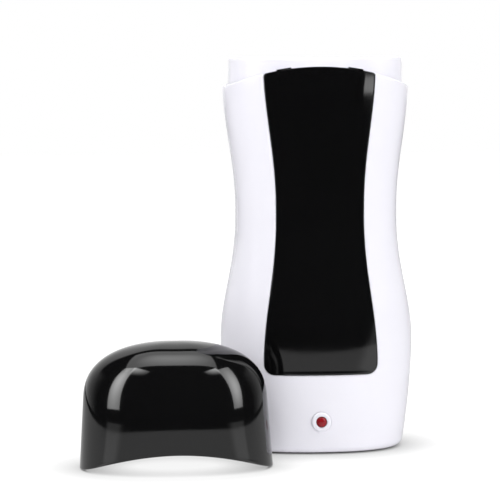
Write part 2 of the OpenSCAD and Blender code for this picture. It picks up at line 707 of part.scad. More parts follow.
// A clip's band over a piece as wide as w and as thick as t, with a foot on each side against the sleeve
module clip_band(w, t) {
    gap = 0.05;
    foot = 2;
    translate([0, 0, -clip_h / 2]) linear_extrude(clip_h) union() {
        for (side = [-1, 1]) {
            translate([0, side * (w / 2 + gap + clip_t / 2) - clip_t / 2]) square([t + gap + clip_t, clip_t]);
            translate([0, side > 0 ? w / 2 + gap : -w / 2 - gap - clip_t - foot]) square([clip_t, foot + clip_t]);
        }
        translate([t + gap, -w / 2 - gap - clip_t]) square([clip_t, w + 2 * gap + 2 * clip_t]);
    }
}
module thermostat_clip() {
    color("silver") translate([sensor_x, 0, sensor_z + thermostat_h / 2]) clip_band(thermostat_w, thermostat_t);
}
module fuse_clip() {
    color("silver") mirror([1, 0, 0]) translate([sensor_x, 0, sensor_z + fuse_h / 2])
        clip_band(2 * fuse_r, 2 * fuse_r);
}

// Mains inlet with two pins
inlet_face = casing_depth(inlet_w / 2, inlet_z) - 0.3;
socket_end = inlet_face - socket_depth;
inlet_back = 2;
inlet_flange = 2;
module ac_inlet() {
    seat = casing_depth(inlet_w / 2 + inlet_flange, inlet_z) - wall - 0.9;
    color([0.12, 0.12, 0.13]) difference() {
        union() {
            translate([-inlet_w / 2, socket_end - inlet_back, inlet_z - inlet_h / 2])
                cube([inlet_w, socket_depth + inlet_back, inlet_h]);
            translate([-inlet_w / 2 - inlet_flange, seat - 1.4, inlet_z - inlet_h / 2])
                cube([inlet_w + 2 * inlet_flange, 1.4, inlet_h]);
        }
        translate([0, socket_end, inlet_z]) rotate([-90, 0, 0]) {
            for (side = [-1, 1]) translate([side * (pin_pitch / 2 - 1), 0, 0])
                cylinder(r = socket_r, h = socket_depth + past);
            translate([-pin_pitch / 2 + 1, -socket_r, 0]) cube([pin_pitch - 2, 2 * socket_r - 0.9, socket_depth + past]);
        }
        for (side = [-1, 1]) translate([side * pin_pitch / 2, socket_end - inlet_back - past, inlet_z])
            rotate([-90, 0, 0]) cylinder(r = pin_r - 0.2, h = inlet_back + 2 * past);
    }
}
tail_len = 3;
tail_y = socket_end - inlet_back - tail_len;
module inlet_pins() {
    tip = socket_end + pin_len;
    color("silver") for (side = [-1, 1]) translate([side * pin_pitch / 2, 0, inlet_z]) rotate([-90, 0, 0])
        rotate_extrude() polygon([[0, tail_y], [pin_r - 0.2, tail_y], [pin_r - 0.2, socket_end],
            [pin_r, socket_end], [pin_r, tip - 0.4], [pin_r - 0.4, tip], [0, tip]]);
}

// Base cover, its screws and the non-slip pad
module base_outline(inset) {
    steps = 72;
    polygon([for (k = [0:steps - 1])
        plan_point(half_w(post_z) - inset, half_d(post_z) - inset - recess, half_d(post_z) - inset, end_square,
            360 * k / steps)]);
}
cover_inset = wall + cover_gap;
module each_post() {
    for (front = [true, false], left = [true, false])
        translate([post_place(front, left)[0], post_place(front, left)[1], 0]) children();
}
module base_cover() {
    rest = [10, 6];
    color("whitesmoke") difference() {
        union() {
            translate([0, 0, pad_t]) linear_extrude(cover_t) base_outline(cover_inset);
            translate([-rest[0] / 2, socket_end, pad_t]) cube([rest[0], rest[1], inlet_z - inlet_h / 2 - pad_t]);
        }
        each_post() {
            translate([0, 0, pad_t - past]) cylinder(r = screw_r + 0.15, h = cover_t + 2 * past);
            translate([0, 0, pad_t - past]) cylinder(r = head_r + 0.15, h = head_t + 0.1 + past);
        }
    }
}
module screw(thread, length) {
    difference() {
        union() {
            cylinder(r = head_r, h = head_t);
            cylinder(r = thread, h = head_t + length);
        }
        for (turn = [0, 90]) rotate(turn) translate([-0.9 * head_r * 0.6, -0.25, -past])
            cube([1.8 * head_r * 0.6, 0.5, 0.5 + past]);
    }
}
module base_screws() {
    color("gray") each_post() translate([0, 0, pad_t + 0.1])
        screw(screw_r - thread_fit, base_screw_len - 0.6 + cover_t - head_t - 0.1);
}
module base_pad() {
    color("dimgray") linear_extrude(pad_t) base_outline(cover_inset + pad_inset);
}
module shell_screws() {
    color("gray") for (side = [-1, 1])
        translate([side * boss_x, head_seat + head_t, boss_z]) rotate([90, 0, 0])
            screw(screw_r - thread_fit, 2 * head_seat - 1);
}

// Internal wires, swept along smooth curves through chosen points
wire_sides = 8;
wire_steps = 3;
function unit(v) = v / norm(v);
function bend(a, b, c, d, t) =
    0.5 * (2 * b + (c - a) * t + (2 * a - 5 * b + 4 * c - d) * t * t + (3 * b - a - 3 * c + d) * t * t * t);
function smooth_path(p) =
    let (n = len(p))
    concat([for (i = [0:n - 2], s = [0:wire_steps - 1])
        bend(p[max(i - 1, 0)], p[i], p[i + 1], p[min(i + 2, n - 1)], s / wire_steps)], [p[n - 1]]);
function direction(q, i) = unit(q[min(i + 1, len(q) - 1)] - q[max(i - 1, 0)]);
function carried(q, i) =
    i == 0 ? let (t = direction(q, 0)) unit(cross(t, abs(t[2]) < 0.8 ? [0, 0, 1] : [1, 0, 0]))
    : let (t = direction(q, i), v = carried(q, i - 1)) unit(v - t * (v * t));
module wire(points, d = wire_d) {
    q = smooth_path(points);
    skin([for (i = [0:len(q) - 1])
        let (t = direction(q, i), u = carried(q, i), v = cross(t, u))
        [for (k = [0:wire_sides - 1]) q[i] + d / 2 * (cos(360 * k / wire_sides) * u + sin(360 * k / wire_sides) * v)]]);
}
// Where the wires join: pin tails, thermostat leads, fuse leads, heater ends and lamp leads
right_tail = [pin_pitch / 2, tail_y - wire_gap, inlet_z];
left_tail = [-pin_pitch / 2, tail_y - wire_gap, inlet_z];
thermostat_lead = [sensor_x + thermostat_t / 2, lead_apart / 2, sensor_z - lead_len - wire_gap];
thermostat_return = [sensor_x + thermostat_t / 2, -lead_apart / 2, sensor_z - lead_len - wire_gap];
fuse_low = [-sensor_x - fuse_r, 0, sensor_z - lead_len - wire_gap];
fuse_high = [-sensor_x - fuse_r, 0, sensor_z + fuse_h + lead_len + wire_gap];
heater_mid = sleeve_z - heater_t / 2;
heater_end = heater_w / 2 + wire_gap;
terminal_in = 2.5;
terminal_y = heater_d / 2 - terminal_in;

module live_wire() {
    color("saddlebrown") wire([right_tail, right_tail - [0, wire_tail, 0], [run_in, run_deep / 2, run_low],
        [run_side, run_deep, run_low], [run_out, run_deep, run_mid], [sensor_x + wire_d, run_deep / 2, run_high + wire_tail],
        thermostat_lead - [0, 0, wire_tail], thermostat_lead]);
}
module link_wire() {
    color("white") wire([thermostat_return, thermostat_return - [0, 0, wire_tail],
        [sensor_x + wire_d / 2, -run_deep, run_high + wire_tail], [run_out - 1, -run_pass, run_high],
        [run_side + 2, -run_pass, run_high + 1], [heater_end + 2, -terminal_y, heater_mid],
        [heater_end, -terminal_y, heater_mid]]);
}
module fuse_wire() {
    color("white") wire([fuse_low, fuse_low - [0, 0, wire_tail],
        [-sensor_x - wire_d / 2, -run_deep * 2 / 3, run_high + wire_tail], [1 - run_out, -run_pass, run_high],
        [-run_side - 2, -run_pass, run_high + 1], [-heater_end - 2, -terminal_y, heater_mid],
        [-heater_end, -terminal_y, heater_mid]]);
}
module neutral_wire() {
    beside = run_deep + 0.5;
    lane = sensor_x + 2.5 * wire_d;
    color("steelblue") wire([left_tail, left_tail - [0, wire_tail, 0], [-run_in, run_deep / 2, run_low],
        [-run_side, run_deep, run_low], [-run_out, beside, run_mid], [-sensor_x - wire_d, beside, run_high + wire_tail],
        [-lane, beside, sensor_z - 2], [-lane, run_deep, sensor_z + fuse_h * 2 / 3],
        [-lane + wire_d / 2, run_deep / 2, sensor_z + fuse_h + lead_len + wire_tail / 2],
        fuse_high + [0, 0, wire_tail], fuse_high]);
}
module lamp_wires() {
    back = lamp_back + 2 + resistor_len;
    color("gray") {
        wire([[resistor_r, back + wire_gap, indicator_z], [resistor_r, back + wire_tail / 2, indicator_z],
            [run_in / 2, back + wire_tail, run_low + wire_tail], [run_in + 1, 0, run_mid],
            [run_side - 1, run_pass, run_high - wire_tail], [heater_end + 2.5, run_pass, run_high + 2],
            [heater_end + 2, terminal_y, heater_mid], [heater_end, terminal_y, heater_mid]]);
        wire([[-lead_x, lamp_back + wire_gap, indicator_z], [-lead_x, lamp_back + wire_tail, indicator_z],
            [-run_in / 2, -run_deep, run_low + wire_tail], [-run_in - 1, 0, run_mid],
            [1 - run_side, run_pass, run_high - wire_tail], [-heater_end - 2.5, run_pass, run_high + 2],
            [-heater_end - 2, terminal_y, heater_mid], [-heater_end, terminal_y, heater_mid]]);
    }
}

front_shell();
rear_shell();
front_panel();
neck_collar();
cap();
indicator_bezel();
indicator_lens();
neon_lamp();
lamp_resistor();
heating_sleeve();
sleeve_seal();
ptc_heater();
insulation_sheet();
heater_clamp();
clamp_screws();
thermostat();
thermostat_clip();
thermal_fuse();
fuse_clip();
ac_inlet();
inlet_pins();
base_cover();
base_screws();
base_pad();
shell_screws();
live_wire();
link_wire();
fuse_wire();
neutral_wire();
lamp_wires();
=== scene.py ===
import bpy, bmesh, json, math
import numpy as np
from mathutils import Vector, Matrix


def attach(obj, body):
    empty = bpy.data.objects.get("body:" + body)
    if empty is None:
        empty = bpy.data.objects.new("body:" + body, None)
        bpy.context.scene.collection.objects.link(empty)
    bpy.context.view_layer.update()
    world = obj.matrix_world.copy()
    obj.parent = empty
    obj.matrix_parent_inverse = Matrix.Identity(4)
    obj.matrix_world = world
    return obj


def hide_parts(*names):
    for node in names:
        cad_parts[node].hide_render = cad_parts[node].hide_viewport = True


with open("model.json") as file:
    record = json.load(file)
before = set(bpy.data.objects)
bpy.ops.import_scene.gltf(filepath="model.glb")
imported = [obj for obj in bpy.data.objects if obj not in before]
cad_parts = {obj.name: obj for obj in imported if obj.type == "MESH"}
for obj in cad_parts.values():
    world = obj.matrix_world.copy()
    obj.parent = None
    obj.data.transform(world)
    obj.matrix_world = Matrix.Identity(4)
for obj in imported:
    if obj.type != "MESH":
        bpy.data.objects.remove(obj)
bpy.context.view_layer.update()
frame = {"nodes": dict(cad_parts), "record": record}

MM = 0.001
SCENE = bpy.context.scene

# The casing, in millimetres: x runs across it, -y is its front and z is up
WAIST_Z, BELLY_Z, SHOULDER_Z = 96.0, 44.5, 146.5
RISE, NECK_H = 8.0, 11.5
CREST_Z, TOP_Z = SHOULDER_Z + 3.5, SHOULDER_Z + NECK_H
HALF_W = (37.6, 32.5, 38.85, 34.7)      # at the crest, waist, belly and bottom
HALF_D = (26.0, 24.0, 27.5, 25.5)
SQUARE, SQUARE_WAIST = 2.35, 0.55       # the plan's exponent, and what the waist adds to it
SEAM_Y, SEAM_BEND, SEAM_CURVE = 4.0, 12.0, 1.6     # the seam's depth, and its bend forward at the waist
WAIST_SPAN = 50.0                       # both change over this distance from the waist
ARCH_R = (HALF_W[0] ** 2 + RISE ** 2) / (2 * RISE)
ARCH_SPAN = 40.0                        # the shoulder's arch fades out this far below it
FOOT_GAP, FOOT_R, FOOT_CURVE = 0.6, 2.5, 1.69
WALL, RECESS = 2.2, 1.22
FRONT_WALL = WALL + RECESS
INNER_FOOT = 0.7                        # share of the foot's rounding that the inside follows
RIM_R, LIP_R, SEAM_R, SEAM_GAP = 0.7, 0.3, 0.22, 0.2

# The front panel
PANEL_HALF = (22.15, 17.4, 22.65, 22.65)
PANEL_LOW, PANEL_BEND_UP, PANEL_BEND_DOWN = 36.0, 1.24, 1.08
PANEL_T, PROUD, FIT = 1.3, 0.2, 0.12
PANEL_BOTTOM, PANEL_R, PANEL_TOP_R = 32.2, 4.0, 0.8
CORNER_Z = PANEL_BOTTOM + PANEL_R
CURL_H, CURL = 2.6, 0.125               # its lowest millimetres turn out by CURL
HOOK_X, HOOK_HALF, HOOK_DEEP, HOOK_UP, HOOK_DOWN = 14.2, 3.0, 0.8, 0.45, 1.2
HOOK_IN, HOOK_ROUND = 0.35, 0.18


def ease(t):
    return (1 - np.cos(np.pi * np.asarray(t, float))) / 2


def swell(z, crest, waist, belly, bottom, low, bend_up=1.055, bend_down=1.16):
    """A half size over the height: bottom at 0, belly at low, then the waist and the crest."""
    z = np.asarray(z, float)
    up = waist + (crest - waist) * ease(np.clip((z - WAIST_Z) / (CREST_Z - WAIST_Z), 0, 1) ** bend_up)
    mid = waist + (belly - waist) * ease(np.clip((WAIST_Z - z) / (WAIST_Z - low), 0, 1) ** bend_down)
    down = belly - (belly - bottom) * np.clip((low - z) / low, 0, 1) ** FOOT_CURVE
    return np.where(z >= WAIST_Z, up, np.where(z >= low, mid, down))


def half_w(z):
    return swell(z, *HALF_W, BELLY_Z)


def half_d(z):
    return swell(z, *HALF_D, BELLY_Z)


def panel_half(z):
    return swell(z, *PANEL_HALF, PANEL_LOW, PANEL_BEND_UP, PANEL_BEND_DOWN)


def from_waist(z):
    return np.clip(np.abs(np.asarray(z, float) - WAIST_Z) / WAIST_SPAN, 0, 1)


def square_at(z):
    return SQUARE + SQUARE_WAIST * (1 - ease(from_waist(z)))


def seam_y(z):
    return SEAM_Y - SEAM_BEND * (1 - ease(from_waist(z) ** SEAM_CURVE))


def spow(v, p):
    return np.sign(v) * np.abs(v) ** p


def arch(x):
    return RISE - ARCH_R + np.sqrt(ARCH_R ** 2 - np.asarray(x, float) ** 2)


def share(z):
    """How much of the shoulder's arch a nominal height takes on."""
    return np.clip((np.asarray(z, float) - SHOULDER_Z + ARCH_SPAN) / ARCH_SPAN, 0, 1) ** 2


def depth_at(x, a, b, n):
    """Depth of a plan curve with half sizes a and b and exponent n, at distance x from its middle."""
    return b * np.clip(1 - (np.abs(x) / a) ** n, 0, None) ** (1 / n)


def by_angle(zn, ang, i_side, i_front):
    """Casing point at nominal height zn and plan angle ang (degrees), drawn in by the two insets."""
    zn, ang = np.broadcast_arrays(np.asarray(zn, float), np.asarray(ang, float))
    c, s = np.cos(np.radians(ang)), np.sin(np.radians(ang))
    x = (half_w(zn) - i_side) * spow(c, 2 / square_at(zn))
    for _ in range(5):
        zz = zn + share(zn) * arch(x)
        n = square_at(zz)
        x = (half_w(zz) - i_side) * spow(c, 2 / n)
    b = np.where(s < 0, half_d(zz) - i_front, half_d(zz) - i_side)
    return np.stack([x, b * spow(s, 2 / n), zz], -1)


def by_depth(zn, y, side, i_side, i_front):
    """Casing point at nominal height zn whose depth is y, on the left (side = -1) or right."""
    zn, y = np.broadcast_arrays(np.asarray(zn, float), np.asarray(y, float))
    zz = zn + share(zn) * arch(side * (half_w(zn) - i_side))
    for _ in range(6):
        n = square_at(zz)
        b = np.where(y < 0, half_d(zz) - i_front, half_d(zz) - i_side)
        x = side * (half_w(zz) - i_side) * np.clip(1 - (np.abs(y) / b) ** n, 0, None) ** (1 / n)
        zz = zn + share(zn) * arch(x)
    return np.stack([x, y, zz], -1)


def angle_of_x(x, zn, i_side):
    """Plan angle of the front surface at distance x from the middle."""
    zz = zn + share(zn) * arch(x)
    a, n = half_w(zz) - i_side, square_at(zz)
    c = np.sign(x) * (np.abs(x) / a) ** (n / 2)
    return 360 - np.degrees(np.arccos(np.clip(c, -1, 1)))


def angle_of_depth(zn, y, i_side, i_front, side, front):
    """Plan angle of the casing's point at depth y."""
    zz = by_depth(zn, y, side, i_side, i_front)[..., 2]
    n = square_at(zz)
    b = np.where(y < 0, half_d(zz) - i_front, half_d(zz) - i_side)
    s = np.degrees(np.arcsin(np.clip(spow(np.asarray(y) / b, n / 2), -1, 1)))
    if side < 0:
        return 180 - s
    return 360 + s if front else s


def on_front(x, zn, lift=0.0, i_side=0.0, i_front=0.0):
    """Point of the front surface at (x, zn); lift stands it out along -y."""
    x, zn = np.broadcast_arrays(np.asarray(x, float), np.asarray(zn, float))
    zz = zn + share(zn) * arch(x)
    d = depth_at(x, half_w(zz) - i_side, half_d(zz) - i_front, square_at(zz))
    return np.stack([x, -d - lift, zz], -1)


# Mesh helpers
class Skin:
    """Collects grids and strips of points, in millimetres, and joins them into one mesh."""

    def __init__(self):
        self.v, self.f = [], []

    def points(self, p):
        p = np.asarray(p, float).reshape(-1, 3)
        first = len(self.v)
        self.v.extend(p.tolist())
        return np.arange(first, first + len(p))

    def grid(self, p, close_rows=False, close_cols=False):
        """Four-sided faces over rows and columns of points."""
        p = np.asarray(p, float)
        r, c = p.shape[:2]
        ids = self.points(p).reshape(r, c)
        for i in range(r if close_rows else r - 1):
            a, b = ids[i], ids[(i + 1) % r]
            for j in range(c if close_cols else c - 1):
                k = (j + 1) % c
                self.f.append((int(a[j]), int(a[k]), int(b[k]), int(b[j])))

    def zip(self, p, q):
        """Triangles between two lines of points."""
        p, q = np.asarray(p, float).reshape(-1, 3), np.asarray(q, float).reshape(-1, 3)
        pi, qi = self.points(p), self.points(q)
        i = j = 0
        while i < len(p) - 1 or j < len(q) - 1:
            along_p = j == len(q) - 1
            if not along_p and i < len(p) - 1:
                along_p = np.linalg.norm(p[i + 1] - q[j]) <= np.linalg.norm(p[i] - q[j + 1])
            if along_p:
                self.f.append((int(pi[i]), int(pi[i + 1]), int(qi[j])))
                i += 1
            else:
                self.f.append((int(pi[i]), int(qi[j + 1]), int(qi[j])))
                j += 1

    def fan(self, ring, centre):
        """Triangles from a closed line to its centre."""
        ids = self.points(ring)
        c = int(self.points([centre])[0])
        for k in range(len(ids)):
            self.f.append((int(ids[k]), int(ids[(k + 1) % len(ids)]), c))

    def mesh(self, name, merge=0.002):
        bm = bmesh.new()
        vs = [bm.verts.new((x * MM, y * MM, z * MM)) for x, y, z in self.v]
        for f in self.f:
            try:
                bm.faces.new([vs[i] for i in f])
            except ValueError:
                pass    # the face is there already
        bmesh.ops.remove_doubles(bm, verts=bm.verts, dist=merge * MM)
        bmesh.ops.dissolve_degenerate(bm, edges=bm.edges, dist=merge * MM * 0.5)
        loose = [v for v in bm.verts if not v.link_faces]
        bmesh.ops.delete(bm, geom=loose, context="VERTS")
        bmesh.ops.recalc_face_normals(bm, faces=bm.faces)
        me = bpy.data.meshes.new(name)
        bm.to_mesh(me)
        odd = sum(1 for e in bm.edges if len(e.link_faces) != 2)
        print("MESH", name, len(bm.verts), "verts", len(bm.faces), "faces", odd, "open or odd edges")
        bm.free()
        return me


def arc(n, start, end):
    """The n + 1 angles, in radians, from start to end in degrees."""
    return np.radians(np.linspace(start, end, n + 1))


def circle(r, y, centre, steps=96):
    """Points round a line along y; centre is (x, z)."""
    t = np.linspace(0, 2 * np.pi, steps, endpoint=False)
    return np.stack([centre[0] + r * np.cos(t), np.full_like(t, y), centre[1] + r * np.sin(t)], -1)


def lathe(sk, profile, centre, steps=96, close=False):
    """Turns a profile of (radius, y) about a line along y through centre."""
    profile = np.asarray(profile, float)
    t = np.linspace(0, 2 * np.pi, steps, endpoint=False)
    r, h = profile[:, :1], profile[:, 1:]
    a, b = r * np.cos(t), r * np.sin(t)
    sk.grid(np.stack([a, h + 0 * a, b], -1) + np.asarray(centre, float), close_rows=close, close_cols=True)


def cylinder_mesh(name, r, y0, y1, centre, steps=96):
    sk = Skin()
    lathe(sk, [(r, y0), (r, y1)], (centre[0], 0, centre[1]), steps)
    for y in (y0, y1):
        sk.fan(circle(r, y, centre, steps), (centre[0], y, centre[1]))
    return sk.mesh(name)


def add_block(sk, low, high, r, place, n=3):
    """A block with rounded edges, as six grids of a box's surface pushed to the rounded box."""
    low, high = np.array(low, float), np.array(high, float)
    c, h = (low + high) / 2, (high - low) / 2

    def axis_line(k):
        edge = np.linspace(0, 1, n + 1) * r
        return np.concatenate([-h[k] + edge, [0.0], (h[k] - edge)[::-1]])

    for k in range(3):
        u, v = (k + 1) % 3, (k + 2) % 3
        lu, lv = axis_line(u), axis_line(v)
        for s in (-1, 1):
            p = np.zeros((len(lu), len(lv), 3))
            p[..., u], p[..., v], p[..., k] = lu[:, None], lv[None, :], s * h[k]
            core = np.clip(p, -(h - r), h - r)
            d = p - core
            norm = np.linalg.norm(d, axis=-1, keepdims=True)
            sk.grid(place(core + d / np.maximum(norm, 1e-9) * r + c))


def cut(me, cutters):
    """The mesh with the cutters' meshes taken away, as a new mesh."""
    o = bpy.data.objects.new("cut_work", me)
    SCENE.collection.objects.link(o)
    tools = []
    for c in cutters:
        t = bpy.data.objects.new("cut_tool", c)
        SCENE.collection.objects.link(t)
        m = o.modifiers.new("cut", "BOOLEAN")
        m.operation, m.solver, m.object = "DIFFERENCE", "EXACT", t
        tools.append(t)
    bpy.context.view_layer.update()
    dg = bpy.context.evaluated_depsgraph_get()
    new = bpy.data.meshes.new_from_object(o.evaluated_get(dg))
    new.name = me.name
    for t in tools:
        bpy.data.objects.remove(t)
    bpy.data.objects.remove(o)
    print("CUT", new.name, len(new.vertices), len(new.polygons))
    return new


def finish_piece(name, me, body, slot_name, cad, sharp=32):
    """Makes the mesh a piece that rides its body and stands in for the CAD nodes in cad."""
    o = bpy.data.objects.new(name, me)
    SCENE.collection.objects.link(o)
    me.polygons.foreach_set("use_smooth", [True] * len(me.polygons))
    me.set_sharp_from_angle(angle=math.radians(sharp))
    me.materials.clear()
    me.materials.append(MAT[slot_name])
    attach(o, body)
    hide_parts(*cad)


# The shells. A row is (nominal height, side inset, front inset)
SEAM_COLS = [(SEAM_R * (1 - math.cos(t)), SEAM_R * (1 - math.sin(t))) for t in arc(4, 0, 90)]
# the recess's border from the outside in: how far the panel's outline is grown, and the depth
RING = [(FIT + 0.30, 0.0), (FIT + 0.19, 0.015), (FIT + 0.11, 0.06), (FIT + 0.045, 0.14),
        (FIT, 0.28), (FIT, RECESS), (-0.6, RECESS)]
GROW = RING[0][0]


def foot_rows():
    """(height, inset) over the rounding of the foot, from the bottom up."""
    return [(FOOT_GAP + FOOT_R - FOOT_R * math.cos(t), FOOT_R - FOOT_R * math.sin(t))
            for t in arc(6, 0, 90)]


def rim_rows():
    """Rows over the top edge, from the outside to the inside."""
    rows = []
    for t in arc(6, 0, 90)[1:]:
        inset = RIM_R * (1 - math.cos(t))
        rows.append((SHOULDER_Z - RIM_R + RIM_R * math.sin(t), inset, inset))
    for t in arc(3, 0, 90):
        z, sweep = SHOULDER_Z - LIP_R + LIP_R * math.cos(t), LIP_R * math.sin(t)
        rows.append((z, WALL - LIP_R + sweep, FRONT_WALL - LIP_R + sweep))
    return rows


def inner_rows(levels):
    """Rows down the inside."""
    rows = []
    for z in levels:
        f = 0.0
        if z < FOOT_GAP + FOOT_R:
            f = FOOT_R - math.sqrt(max(FOOT_R ** 2 - (FOOT_GAP + FOOT_R - z) ** 2, 0))
        rows.append((z, WALL + INNER_FOOT * f, FRONT_WALL + INNER_FOOT * f))
    return rows


def seam_edge(zn, front):
    return seam_y(zn) + (-SEAM_GAP / 2 if front else SEAM_GAP / 2)


def seam_columns(rows, side, front):
    """Columns of the rounded seam edge, from the seam's face outwards."""
    out = []
    for e, inset in SEAM_COLS:
        col = []
        for zn, i_s, i_f in rows:
            y = seam_edge(zn, front) + (-e if front else e)
            col.append(by_depth(zn, y, side, max(i_s, inset), max(i_f, inset)))
        out.append(np.array(col))
    return out


def side_patch(rows, side, front, edges, cols):
    """Points from the seam to the rear's middle, or in front to x = edges[k] in row k, beside the panel."""
    t = np.linspace(0, 1, cols + 1)
    grid = []
    for k, (zn, i_s, i_f) in enumerate(rows):
        y = seam_edge(zn, front) + (-SEAM_R if front else SEAM_R)
        a0 = float(angle_of_depth(zn, y, i_s, i_f, side, front))
        a1 = float(angle_of_x(side * edges[k], zn, i_s)) if front else 90.0
        grid.append(by_angle(zn, a0 + (a1 - a0) * t, i_s, i_f))
    return np.array(grid)


def face_columns(over, side, front, edges, cols):
    """The seam's columns and the face's, for rows that run over the top edge."""
    face = side_patch(over, side, front, edges, cols)
    return seam_columns(over, side, front)[:-1] + [face[:, j] for j in range(face.shape[1])]


def rounding(cx, cz, r, way, angles):
    """(x, z) round a right-hand corner, an upper (way = 1) or a lower one (-1)."""
    return [(cx + r * math.cos(t), cz + way * r * math.sin(t)) for t in angles]


def panel_heights(top):
    """Heights of the points beside the panel, from its lower corner up."""
    return np.concatenate([np.linspace(CORNER_Z, 60, 22)[1:], np.linspace(60, top, 70)[1:]])


def outline(g):
    """The panel's outline grown by g: its side from the corner's middle up, and its bottom."""
    r = PANEL_R + g
    cx = float(panel_half(CORNER_Z)) - PANEL_R
    side = rounding(cx, CORNER_Z, r, -1, arc(5, 45, 0))
    side += [(float(panel_half(z)) + g, z) for z in panel_heights(SHOULDER_Z - RIM_R)]
    half = rounding(cx, CORNER_Z, r, -1, arc(5, 45, 90))
    flat = [(x, PANEL_BOTTOM - g) for x in np.linspace(cx, -cx, 23)[1:-1]]
    return np.array(side), np.array(half + flat + [(-x, z) for x, z in half[::-1]])


def front_shell_mesh():
    sk = Skin()
    cols = 34
    side0, bottom0 = outline(GROW)
    corner_x, corner_z = side0[0]
    foot, rim = foot_rows(), rim_rows()
    foot_top = foot[-1][0]
    # rows below the panel's corner, and all rows
    low = [(z, i, i) for z, i in foot]
    low += [(z, 0.0, 0.0) for z in np.linspace(foot_top, corner_z, 26)[1:-1]]
    rows = low + [(z, 0.0, 0.0) for z in side0[:, 1]]
    edges = np.concatenate([np.full(len(low), corner_x), side0[:, 0]])
    for side in (-1, 1):
        sk.grid(side_patch(rows, side, True, edges, cols))
        sk.grid(np.stack(seam_columns(rows, side, True), 1))
        # the recess's border beside the panel
        ring = []
        for g, depth in RING:
            line = outline(g)[0]
            ring.append(on_front(side * line[:, 0], line[:, 1], lift=-depth))
        sk.grid(np.stack(ring, 1))
    # the recess's border under the panel
    ring = []
    for g, depth in RING:
        line = outline(g)[1]
        ring.append(on_front(line[:, 0], line[:, 1], lift=-depth))
    sk.grid(np.stack(ring, 0))
    # the outside below the panel
    patch = []
    for zn, i_s, i_f in low:
        s = max((zn - foot_top) / (corner_z - foot_top), 0.0)
        zc = zn + (bottom0[:, 1] - corner_z) * s
        patch.append(on_front(bottom0[:, 0], zc, i_side=i_s, i_front=i_f))
    patch.append(on_front(bottom0[:, 0], bottom0[:, 1]))
    sk.grid(np.array(patch))
    # the recess's floor
    inmost, depth = RING[-1]
    s, b = outline(inmost)
    across = b[:, 0] / b[0, 0]
    patch = [on_front(b[:, 0], b[:, 1], lift=-depth)]
    for k in range(1, len(s)):
        x, z = s[k]
        t = k / (len(s) - 1)
        zc = z + (b[:, 1] - b[0, 1]) * (1 - t) ** 6
        patch.append(on_front(x * across, zc, lift=-depth))
    sk.grid(np.array(patch))
    # over the top edge and down the inside, every column in turn
    levels = list(np.linspace(SHOULDER_Z - LIP_R, foot_top, 60)[1:]) + [z for z, i in foot[::-1][1:]]
    over = [(SHOULDER_Z - RIM_R, 0.0, 0.0)] + rim + inner_rows(levels)

    def half_at(zn):
        return float(panel_half(max(zn, CORNER_Z)))

    def pocket_col(x_of, depth):
        col = []
        for zn, i_s, i_f in over:
            x = x_of(zn)
            p = on_front(x, zn, i_side=i_s, i_front=i_f)
            q = on_front(x, zn, lift=-depth)
            if zn > CORNER_Z and q[1] > p[1]:
                p = q
            col.append(p)
        return np.array(col)

    over_edges = [half_at(row[0]) + GROW for row in over]
    columns = face_columns(over, -1, True, over_edges, cols)
    for g, d in RING[1:]:
        columns.append(pocket_col(lambda z: -(half_at(z) + g), d))
    for part in across[::-1][1:-1]:
        columns.append(pocket_col(lambda z: part * (half_at(z) + inmost), depth))
    for g, d in RING[::-1][:-1]:
        columns.append(pocket_col(lambda z: half_at(z) + g, d))
    columns += face_columns(over, 1, True, over_edges, cols)[::-1]
    grid = np.stack(columns, 1)
    sk.grid(grid)
    # the bottom face
    first = low[0]
    left, right = (side_patch([first], side, True, [corner_x], cols)[0] for side in (-1, 1))
    seam_l, seam_r = ([c[0] for c in seam_columns([first], side, True)][:-1] for side in (-1, 1))
    mid = on_front(bottom0[:, 0][::-1], first[0], i_side=first[1], i_front=first[2])
    sk.zip(np.concatenate([seam_l, left, mid[1:-1], right[::-1], seam_r[::-1]]), grid[-1])
    # the faces along the seam
    for side, k in ((-1, 0), (1, -1)):
        outside = np.concatenate([seam_columns(rows, side, True)[0], grid[1:len(rim) - 2, k]])
        sk.zip(outside, grid[len(rim) - 3:, k][::-1])
    return sk.mesh("front_shell_skin")


def rear_shell_mesh():
    sk = Skin()
    cols = 48
    foot, rim = foot_rows(), rim_rows()
    zs = np.linspace(foot[-1][0], SHOULDER_Z - RIM_R, 125)[1:]
    rows = [(z, i, i) for z, i in foot] + [(z, 0.0, 0.0) for z in zs]
    levels = list(zs[::-1][1:]) + [z for z, i in foot[::-1]]
    over = rows + rim + inner_rows(levels)
    columns = face_columns(over, -1, False, None, cols)
    columns += face_columns(over, 1, False, None, cols)[:-1][::-1]
    grid = np.stack(columns, 1)
    sk.grid(grid, close_rows=True)
    # the faces along the seam
    n = len(rows) + len(rim)
    for k in (0, -1):
        sk.zip(grid[:n - 3, k], grid[n - 4:, k][::-1])
    return sk.mesh("rear_shell_skin")


# The front panel's mesh
def coons(bottom, top, left, right):
    """Points of a patch inside four border lines, each a list of (x, z)."""
    u = np.linspace(0, 1, len(bottom))[None, :, None]
    v = np.linspace(0, 1, len(left))[:, None, None]
    b, t, l, r = bottom[None], top[None], left[:, None], right[:, None]
    c = (1 - u) * (1 - v) * bottom[0] + u * (1 - v) * bottom[-1] + (1 - u) * v * top[0] + u * v * top[-1]
    return (1 - v) * b + v * t + (1 - u) * l + u * r - c


